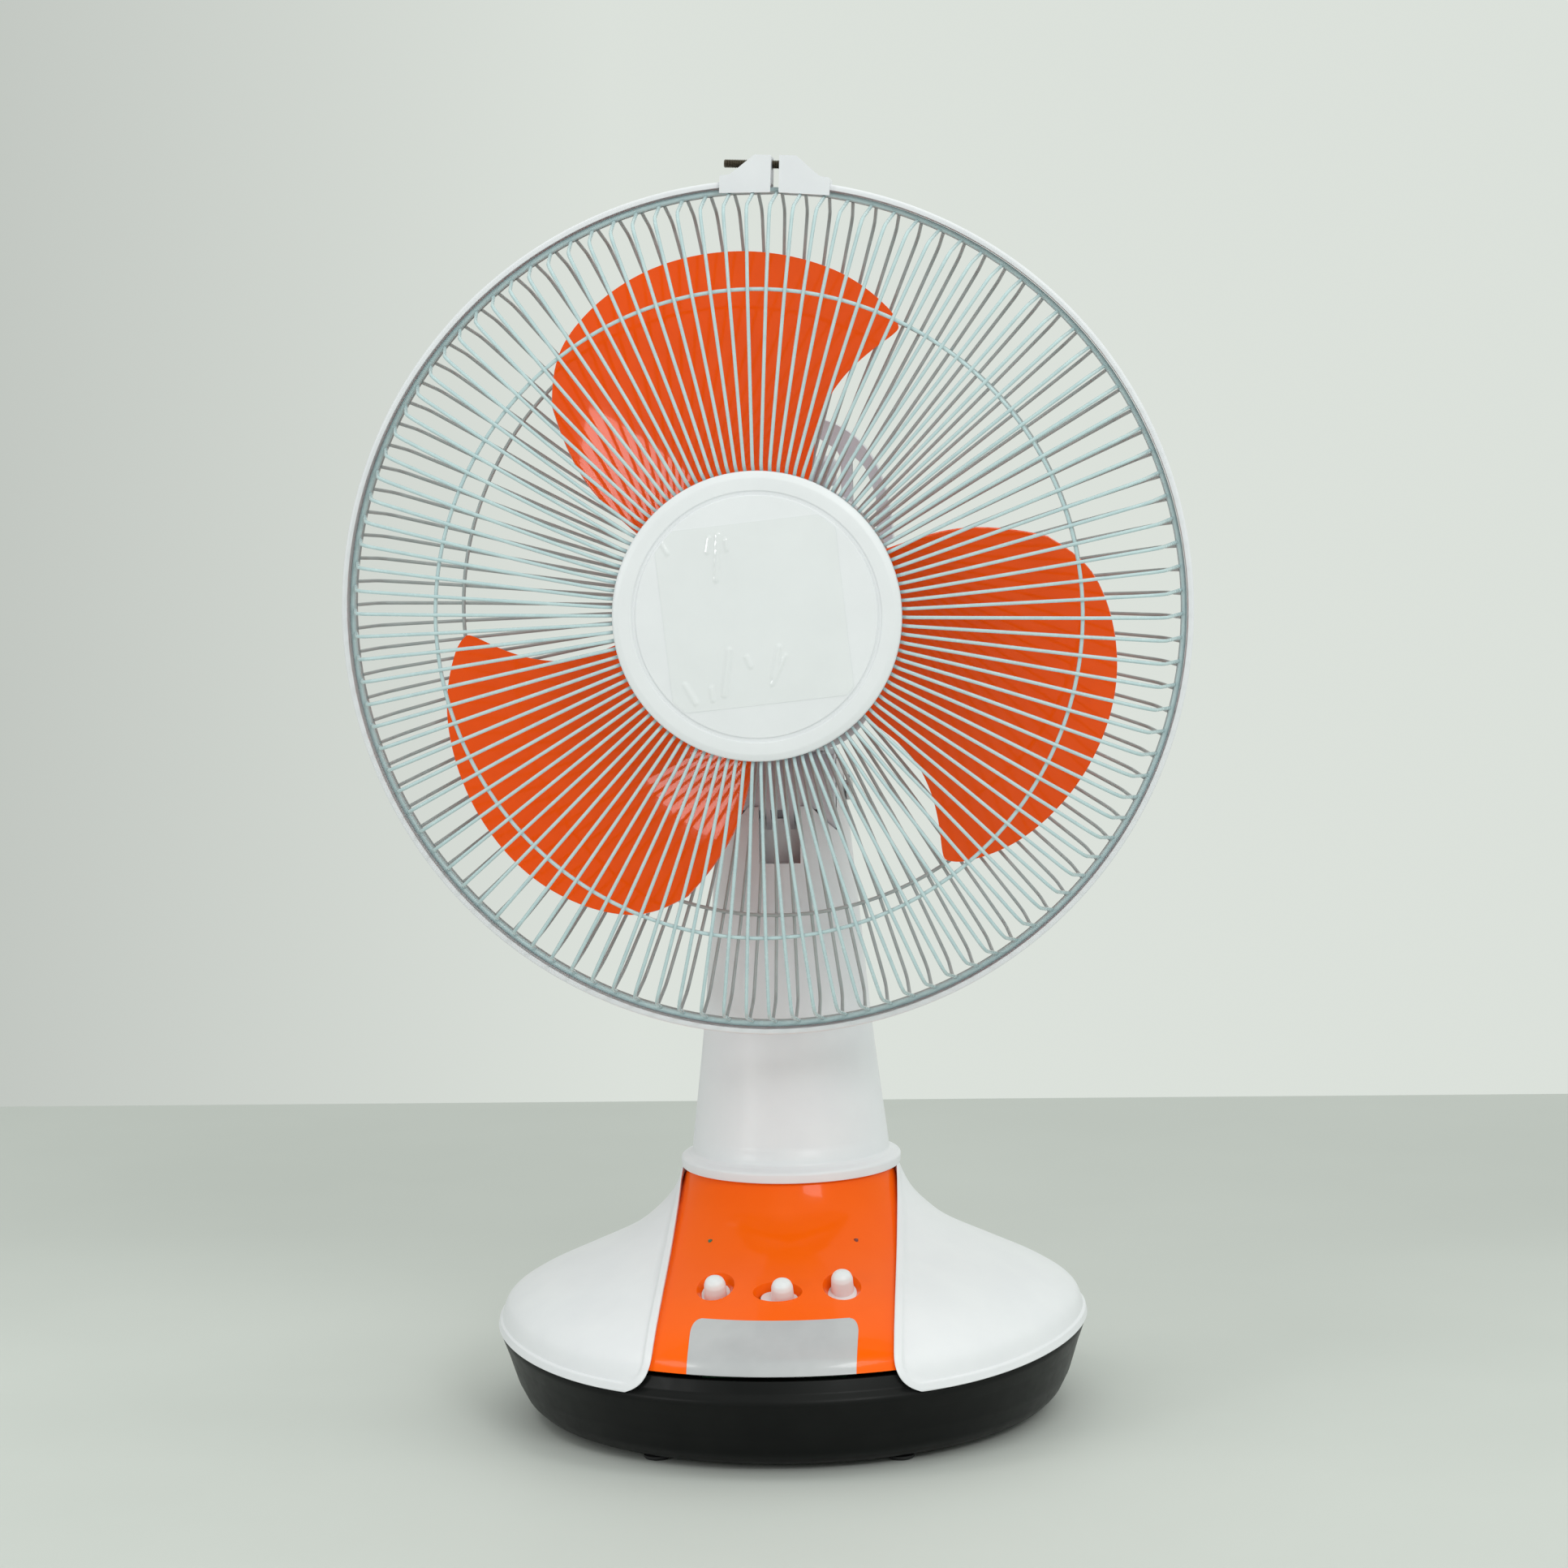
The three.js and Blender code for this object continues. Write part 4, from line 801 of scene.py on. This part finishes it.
def make_housings():
    """The motor's casing: the front housing with its boss, and the domed rear cover."""
    half, low, top, face, rounding, power = 46, -63, 51, -31.8, 4.0, 3.0
    sections = []
    for t in np.linspace(0, math.pi / 2, 8):
        inset = rounding * (1 - math.sin(t))
        sections.append((face + rounding * (1 - math.cos(t)), half - inset, low + inset, top - inset, power))
    for y, inset in ((-14.6, 0), (-14.0, 0.4)):
        sections.append((y, half - inset, low + inset, top - inset, power))
    front = section_skin("motor_face", sections)
    cut(front, rod(12, -50, 0, "y", HEAD, 64))
    finish_piece(front, "head", HEAD_WHITE_PAINTED_SHADE, ["motor_front_housing"], crease=35)
    boss = turned("motor_boss", fillet([(7, -20), (7, -45), (18.4, -45), (20, -43.4), (20, -30), (12, -28)],
                                       [0, 0.6, 1.2, 1.2, 0, 0], 4), "y", 96, HEAD)
    finish_piece(boss, "head", HEAD_WHITE_PAINTED_SHADE)
    skin = section_skin("motor_cover", cover_sections(0, -13.7))
    vents = []
    for middle in (-14, -7, 0, 7, 14):
        slot = [(middle + x, z) for x, z in ((-1.5, -14), (1.5, -14), (1.5, 14), (-1.5, 14))]
        vents.append(extruded("tool", fillet(slot, 1.2, 4, True), 60, 100, HEAD))
    hollow = section_skin("tool", cover_sections(2.4, -15))
    knob_hole, post_hole = rod(3.6, 30, 80, "z", KNOB), rod(9.8, -80, -40, "z", HEAD)
    link_hole = rod(4.5, -80, -40, "z", (-5.5, 60, FAN_Z))
    cut(skin, hollow, knob_hole, post_hole, link_hole, *vents)
    finish_piece(skin, "head", HEAD_WHITE_PAINTED_SHADE, ["motor_rear_cover"], crease=35)


def bezier(a, b, c, d):
    t = np.linspace(0, 1, 28)[:, None]
    a, b, c, d = (np.array(p, float) for p in (a, b, c, d))
    return ((1 - t) ** 3 * a + 3 * t * (1 - t) ** 2 * b + 3 * t * t * (1 - t) * c + t ** 3 * d).tolist()


def make_handle():
    """The carrying handle, open in the middle and at both sides, and the swing knob beside its back."""
    right = bezier((49, 24), (48, 62), (34, 81), (0, 81))
    arch = right + [(-x, z) for x, z in right[-2::-1]]
    body = extruded("handle_arch", arch, 15, 29, HEAD)
    centre = fillet([(-27, 36), (27, 36), (27, 64), (14, 72.6), (0, 74.3), (-14, 72.6), (-27, 64)],
                    [3, 3, 8, 12, 20, 12, 8], 6, True)
    tools = [extruded("tool", centre, 10, 34, HEAD)]
    for side in (-1, 1):
        corners = [(31.5 * side, 30), (31.5 * side, 63.5), (37.6 * side, 57), (42 * side, 45), (42 * side, 30)]
        gap = fillet(corners, [1.5, 2.0, 6, 6, 1.5], 6, True)
        tools.append(extruded("tool", gap, 10, 34, HEAD))
    cut(body, *tools)
    cut(body, section_skin("tool", cover_sections(-0.2, -14)))
    finish_piece(body, "head", HEAD_WHITE_PAINTED_SHADE, ["carry_handle"], crease=40, bevel=1.6, segments=4)
    outline = fillet([(0, 6), (3, 6), (3, 49), (8.4, 49), (9, 50.2), (9, 60), (7.4, 62.4), (0, 62.4)],
                     [0, 0, 0.6, 0.5, 0.5, 1.6, 1.6, 0], 5)
    knob = turned("swing_pull", outline, "z", 64, KNOB)
    finish_piece(knob, "knob", HEAD_WHITE_PAINTED_SHADE, ["swing_knob"])


make_housings()
make_handle()


# -------- head: impeller
# A blade's four sides, as (degrees, radius) seen from the front.
TRAILING = [(-60, 24), (-55.5, 62), (-52, 88), (-44, 120)]
OUTER = [(-44, 120), (-35, 136), (-20, 146), (-4, 147.5), (12, 142.5), (23, 133.5), (26.4, 127)]
LEADING = [(24, 24), (19, 57), (16.4, 80), (19, 100), (26.4, 127)]
ROOT = [(-60, 24), (24, 24)]
BLADE_HALF = 0.85  # half a blade's thickness
PITCH_IN, PITCH_OUT = 160, 225  # depth of one whole turn of the blade's screw, at the hub and tip
HUB_R, TIP_R = 27, 150


def blade_polar(u, v):
    """Coons patch between the four sides of the blade outline: (degrees, radius)."""
    t, l, o, b = catmull(TRAILING, v), catmull(LEADING, v), catmull(OUTER, u), catmull(ROOT, u)
    corners = ((np.array(ROOT[0]) * (1 - u) + np.array(ROOT[1]) * u) * (1 - v)
               + (np.array(TRAILING[-1]) * (1 - u) + np.array(LEADING[-1]) * u) * v)
    return t * (1 - u) + l * u + b * (1 - v) + o * v - corners


def round_tip(u, v, wide=0.05, tall=0.08):
    """Bend the square corner of the patch at its tip into a quarter circle."""
    a, b = (u - 1 + wide) / wide, (v - 1 + tall) / tall
    if a <= 0 or b <= 0:
        return u, v
    return 1 - wide + wide * a * math.sqrt(1 - b * b / 2), 1 - tall + tall * b * math.sqrt(1 - a * a / 2)


def blade_mesh(turn):
    """One screw-shaped blade, turned about the shaft by turn degrees."""
    rows, columns = 50, 80
    sheet = []
    for j in range(rows):
        for i in range(columns):
            degrees, radius = blade_polar(*round_tip(i / (columns - 1), j / (rows - 1)))
            share = min(max((radius - HUB_R) / (TIP_R - HUB_R), 0), 1)
            pitch = PITCH_IN + (PITCH_OUT - PITCH_IN) * share
            angle, depth = math.radians(degrees + turn), -75 + pitch * (degrees + 16) / 360
            sheet.append((radius * math.sin(angle), depth, radius * math.cos(angle)))
    sheet = np.array(sheet).reshape(rows, columns, 3)
    du, dv = np.gradient(sheet, axis=1), np.gradient(sheet, axis=0)
    normal = np.cross(du, dv)
    normal /= np.linalg.norm(normal, axis=2)[:, :, None]
    verts = [(sheet + normal * side).reshape(-1, 3) for side in (BLADE_HALF, -BLADE_HALF)]
    return np.concatenate(verts), slab_faces(rows, columns)


def make_impeller():
    verts, faces = gather([blade_mesh(120 * k) for k in range(3)])
    blades = place_mesh("impeller_blades", verts, faces, HEAD)
    finish_piece(blades, "rotor", BLADE, ["impeller"], crease=40, bevel=0.6, segments=2)
    cup = fillet([
        (SHAFT_HOLE, -96.8), (15, -96.8), (24, -94.5), (HUB_R, -90), (HUB_R, -55), (24.4, -55),
        (24.4, -88), (10, -90), (10, -57), (SHAFT_HOLE, -57)], [0, 2, 3, 3, 0.5, 0.5, 0.5, 0.5, 0.3, 0], 4)
    hub = turned("impeller_hub", cup, "y", 96, HEAD)
    finish_piece(hub, "rotor", BLADE)
    dome = fillet([(0, -103), (9, -102.2), (15, -97.3), (0, -97.3)], [0, 3, 0.6, 0], 5)
    nut = turned("spinner", dome, "y", 64, HEAD)
    finish_piece(nut, "rotor", BLADE, ["spinner_nut"])


# -------- head: guards, hoop, clamp and badge
def guard(name, node, stations, radii, rings, phase, material):
    """Radial wires along a path of (radius, depth in front of the hoop), and ring wires."""
    path = np.array(fillet([(r, -d) for r, d in stations], radii, 6))
    parts = []
    for k in range(WIRES):
        angle = 2 * math.pi * k / WIRES + math.radians(phase)
        line = np.stack((path[:, 0] * math.sin(angle), HOOP_Y + path[:, 1], path[:, 0] * math.cos(angle)), 1)
        parts.append(tube(line, WIRE_R, 8))
    for radius, depth, thick in rings:
        parts.append(tube(ring_path(radius, HOOP_Y - depth, 192), thick, 10, True))
    verts, faces = gather(parts)
    made = place_mesh(name, verts, faces, HEAD)
    finish_piece(made, "head", material, [node], crease=60)


def make_guards():
    guard("front_grille", "front_guard",
          [(170.5, 1.6), (162.9, 38.2), (130, 42.9), (66, 43.5), (61.0, 43.2), (55.6, 37.2), (50, 36.9)],
          [0, 9, 60, 60, 3.5, 3.5, 0],
          [(171.3, 2.2, 1.25), (130.0, 41.4, 0.8), (54.0, 38.6, 1.2)], -0.3, MINT)
    # The rear guard wears the painted-shade copy of the wire.
    guard("rear_grille", "rear_guard",
          [(170.5, -1.6), (164.6, -19.0), (131, -29.8), (54, -37.3), (30, -37.5)],
          [0, 9, 60, 40, 0],
          [(171.3, -2.2, 1.25), (130.0, -28.4, 0.8)], 0.3, MINT_PAINTED_SHADE)
    dish = fillet([(20.6, 36.9), (52, 36.9), (53.4, 35.4), (54.6, 35.4), (54, 38.3), (20.6, 38.3)],
                  [0, 1, 0.5, 0.5, 1, 0], 4)
    # The rear plate wears the painted-shade copy of the wire too.
    plate = turned("rear_grille_plate", [(r, HOOP_Y + y) for r, y in dish], "y", 96, HEAD)
    finish_piece(plate, "head", MINT_PAINTED_SHADE)
    ring = fillet([(20.4, -42.6), (28.6, -42.6), (30, -41.2), (30, -34.6), (20.4, -34.6)],
                  [0.6, 1, 1, 0.5, 0], 4)
    nut = turned("grille_nut", ring, "y", 24, HEAD)
    finish_piece(nut, "head", SATIN_WHITE, ["guard_nut"], crease=10)


def make_hoop():
    """The split hoop round the guards' rims, and the clamp that closes it, a little clockwise of the top."""
    half, outer, inner, clocking = 6.5, 175.3, 172.9, 2.75
    band = fillet([
        (outer, half), (outer, -half), (inner, -half), (inner, -5.5),
        (173.9, -5.0), (173.9, 5.0), (inner, 5.5), (inner, half),
    ], [1.2, 1.2, 0.3, 0.3, 0.3, 0.3, 0.3, 0.3], 5, True)
    hoop = turned("hoop_band", [(r, y + HOOP_Y) for r, y in band], "y", 256, HEAD)
    gap = [(-1.6, 160), (1.6, 160), (1.6, 190), (-1.6, 190)]
    cut(hoop, extruded("tool", gap, HOOP_Y - 20, HOOP_Y + 20, HEAD, clocking))
    finish_piece(hoop, "head", WHITE, ["guard_hoop"], crease=35)

    turn = math.radians(clocking)
    along = np.array((math.cos(turn), 0, -math.sin(turn)))
    out = np.array((math.sin(turn), 0, math.cos(turn)))
    screw_radius = 181.7
    seat = np.array(HEAD) + (0, HOOP_Y, 0) + out * screw_radius

    def aligned(made):
        """Moves a part made about the origin to the screw's place, along the screw."""
        turn_matrix = Matrix((along, (0, 1, 0), out)).transposed().to_4x4()
        made.data.transform(Matrix.Translation(seat * MM) @ turn_matrix)
        return made

    for side, where in ((-1, "left"), (1, "right")):
        corners = [(1.7, 170.1), (1.7, 185.0), (8.5, 185.0), (18.2, 176.9), (22.4, 176.4), (22.4, 169.3)]
        outline = fillet([(x * side, z) for x, z in corners], [0.3, 0.5, 1.6, 3.0, 0.7, 0.3], 5, True)
        lug = extruded(f"clamp_lug_{where}", outline, HOOP_Y - 8.4, HOOP_Y + 8.4, HEAD, clocking)
        room = [(150, -6.7), (175.5, -6.7), (175.5, 6.7), (150, 6.7)]
        channel = turned("tool", [(r, HOOP_Y + y) for r, y in room], "y", 256, HEAD)
        hole = aligned(rod(2.3, -40, 40, "x"))
        pocket = aligned(rod(4.1, *sorted((6 * side, 40 * side)), "x"))
        cut(lug, channel, hole, pocket)
        finish_piece(lug, "head", WHITE, [f"clamp_block_{where}"], crease=35, bevel=0.45)
    thread = [(0, -21.4), (1.4, -21.4)]
    at = -21.2
    while at < 5.9:
        thread += [(1.42, at), (1.82, at + 0.3), (1.82, at + 0.4)]
        at += 0.7
    thread += [(2.0, 6.4), (3.6, 6.4), (3.6, 8.2), (2.6, 9), (0, 9)]
    screw = aligned(turned("clamp_bolt", thread, "x", 40))
    finish_piece(screw, "head", DARK_STEEL, ["clamp_screw"], crease=30)


def make_badge():
    """The white disc on the front guard: a crowned middle, a fine groove and a rolled edge."""
    face = HOOP_Y - 45.4
    profile = fillet([
        (0, face - 1.5), (30, face - 1.15), (48.4, face - 0.55), (48.9, face + 0.35), (49.9, face + 0.35),
        (50.5, face - 0.40), (55.4, face - 0.15), (58.2, face + 0.9), (58.2, face + 4.6),
        (56.6, face + 4.6), (55.0, face + 2.4), (0, face + 1.4),
    ], [0, 30, 0.25, 0.2, 0.2, 0.3, 3, 1.4, 0.3, 0.3, 0.5, 0], 6)
    cap = turned("badge_disc", profile, "y", 192, HEAD)
    finish_piece(cap, "head", SATIN_WHITE, ["badge_cap"], crease=32)
    make_film(face)


def make_film(face):
    """The clear protective film on the badge, with the air bubbles trapped under it."""
    half, count, spin, groove, bubble_height, thick = 36.5, 141, math.radians(5.5), 47.8, 0.42, 0.20
    steps = np.linspace(-half, half, count)
    a, b = np.meshgrid(steps, steps)
    x = a * math.cos(spin) - b * math.sin(spin) - 0.9
    z = a * math.sin(spin) + b * math.cos(spin) + 1.3
    pull = np.minimum(1, groove / np.maximum(np.hypot(x, z), 1e-6))  # its corners stop at the groove
    x, z = x * pull, z * pull
    raised = np.zeros_like(x)
    # Each bubble: its two ends and its half width.
    bubbles = [
        ((-35, 26), (-39, 33), 0.9), ((-14.5, 33), (-15.5, 15), 1.1), ((-18, 32), (-19, 26), 0.8),
        ((-11.5, 31), (-11, 27), 0.8), ((-11, -13), (-13.5, -31), 1.3), ((-4, -16), (-2.6, -19.5), 1.2),
        ((9, -12), (6.5, -24), 1.2), ((11.5, -15.5), (6, -27), 0.9), ((-29, -27), (-25, -34), 1.3),
        ((-18.5, -28), (-18, -33), 1.0)]
    for (x0, z0), (x1, z1), wide in bubbles:
        dx, dz = x1 - x0, z1 - z0
        t = np.clip(((x - x0) * dx + (z - z0) * dz) / (dx * dx + dz * dz), 0, 1)
        away = np.hypot(x - x0 - t * dx, z - z0 - t * dz) / wide
        raised = np.maximum(raised, bubble_height * np.clip(1 - away * away, 0, 1) ** 0.7)
    crown = np.interp(np.hypot(x, z), [0, 15, 30, 48.4], [face - 1.5, face - 1.33, face - 1.12, face - 0.55])
    sheets = [np.stack((x, y, z), 2).reshape(-1, 3) for y in (crown - thick - raised, crown - 0.02)]
    film = place_mesh("badge_film", np.concatenate(sheets), slab_faces(count, count), HEAD)
    finish_piece(film, "head", FILM, crease=50)


make_impeller()
make_guards()
make_hoop()
make_badge()


# -------- stage and light
def make_stage():
    """A pale floor with painted shade darkening it towards the back, in a studio that brightens overhead and
    to the right.
    """
    made, node = shader("pale_floor", roughness=0.62, Specular_IOR_Level=0.25)
    tree = made.node_tree
    place = tree.nodes.new("ShaderNodeTexCoord")
    axes = tree.nodes.new("ShaderNodeSeparateXYZ")
    fade = tree.nodes.new("ShaderNodeVectorMath")
    fade.operation = "MULTIPLY"
    tree.links.new(place.outputs["Object"], axes.inputs["Vector"])
    cloudy = tint(made, noise(made, 3.0, 4.0), (0.66, 0.685, 0.66), (0.70, 0.725, 0.70))
    # Painted shade: the floor's colour darkens from front to back.
    painted_back_shade = tint(made, axes.outputs["Y"], (0.88, 0.88, 0.88), (0.76, 0.76, 0.76), span=(0.02, 0.34))
    tree.links.new(cloudy, fade.inputs[0])
    tree.links.new(painted_back_shade, fade.inputs[1])
    tree.links.new(fade.outputs["Vector"], node.inputs["Base Color"])
    reach, back = 3000, 720
    corners = [(-reach, -reach, 0), (reach, -reach, 0), (reach, back, 0), (-reach, back, 0)]
    floor = place_mesh("floor", corners, [(0, 1, 2, 3)])
    floor.data.materials.append(made)
    world = bpy.data.worlds.new("studio")
    world.use_nodes = True
    nodes, links = world.node_tree.nodes, world.node_tree.links
    direction = nodes.new("ShaderNodeTexCoord")
    split = nodes.new("ShaderNodeSeparateXYZ")
    links.new(direction.outputs["Generated"], split.inputs["Vector"])
    across = nodes.new("ShaderNodeMapRange")
    upward = nodes.new("ShaderNodeMapRange")
    set_range(across, -0.32, -0.12, 0.84, 1.19)
    set_range(upward, 0.2, 1.0, 1.0, 1.5)
    links.new(split.outputs["X"], across.inputs["Value"])
    links.new(split.outputs["Z"], upward.inputs["Value"])
    product = nodes.new("ShaderNodeMath")
    product.operation = "MULTIPLY"
    links.new(across.outputs["Result"], product.inputs[0])
    links.new(upward.outputs["Result"], product.inputs[1])
    nodes["Background"].inputs["Color"].default_value = (0.60, 0.635, 0.595, 1)
    links.new(product.outputs["Value"], nodes["Background"].inputs["Strength"])
    bpy.context.scene.world = world
    bpy.context.scene.view_settings.view_transform = "Standard"


def softbox(name, place, target, size, radiance):
    """A rectangular light given by its brightness, so that its size doesn't change its reflection."""
    data = bpy.data.lights.new(name, "AREA")
    data.shape = "RECTANGLE"
    data.size, data.size_y = size
    data.energy = radiance * math.pi * size[0] * size[1]
    lamp = add_object(name, data)
    lamp.location = place
    lamp.rotation_euler = (Vector(target) - Vector(place)).to_track_quat("-Z", "Y").to_euler()


make_stage()
softbox("front_right", (0.98, -1.80, 1.35), (0, -0.06, 0.42), (0.74, 0.50), 8.0)
softbox("front_left", (-1.56, -1.52, 0.68), (0, -0.06, 0.28), (0.50, 0.46), 8.0)
softbox("overhead_left", (-0.98, -0.24, 1.84), (0, -0.11, 0.05), (0.50, 0.30), 5.0)
softbox("overhead_right", (0.58, -0.36, 1.96), (0, -0.11, 0.05), (0.50, 0.30), 5.0)
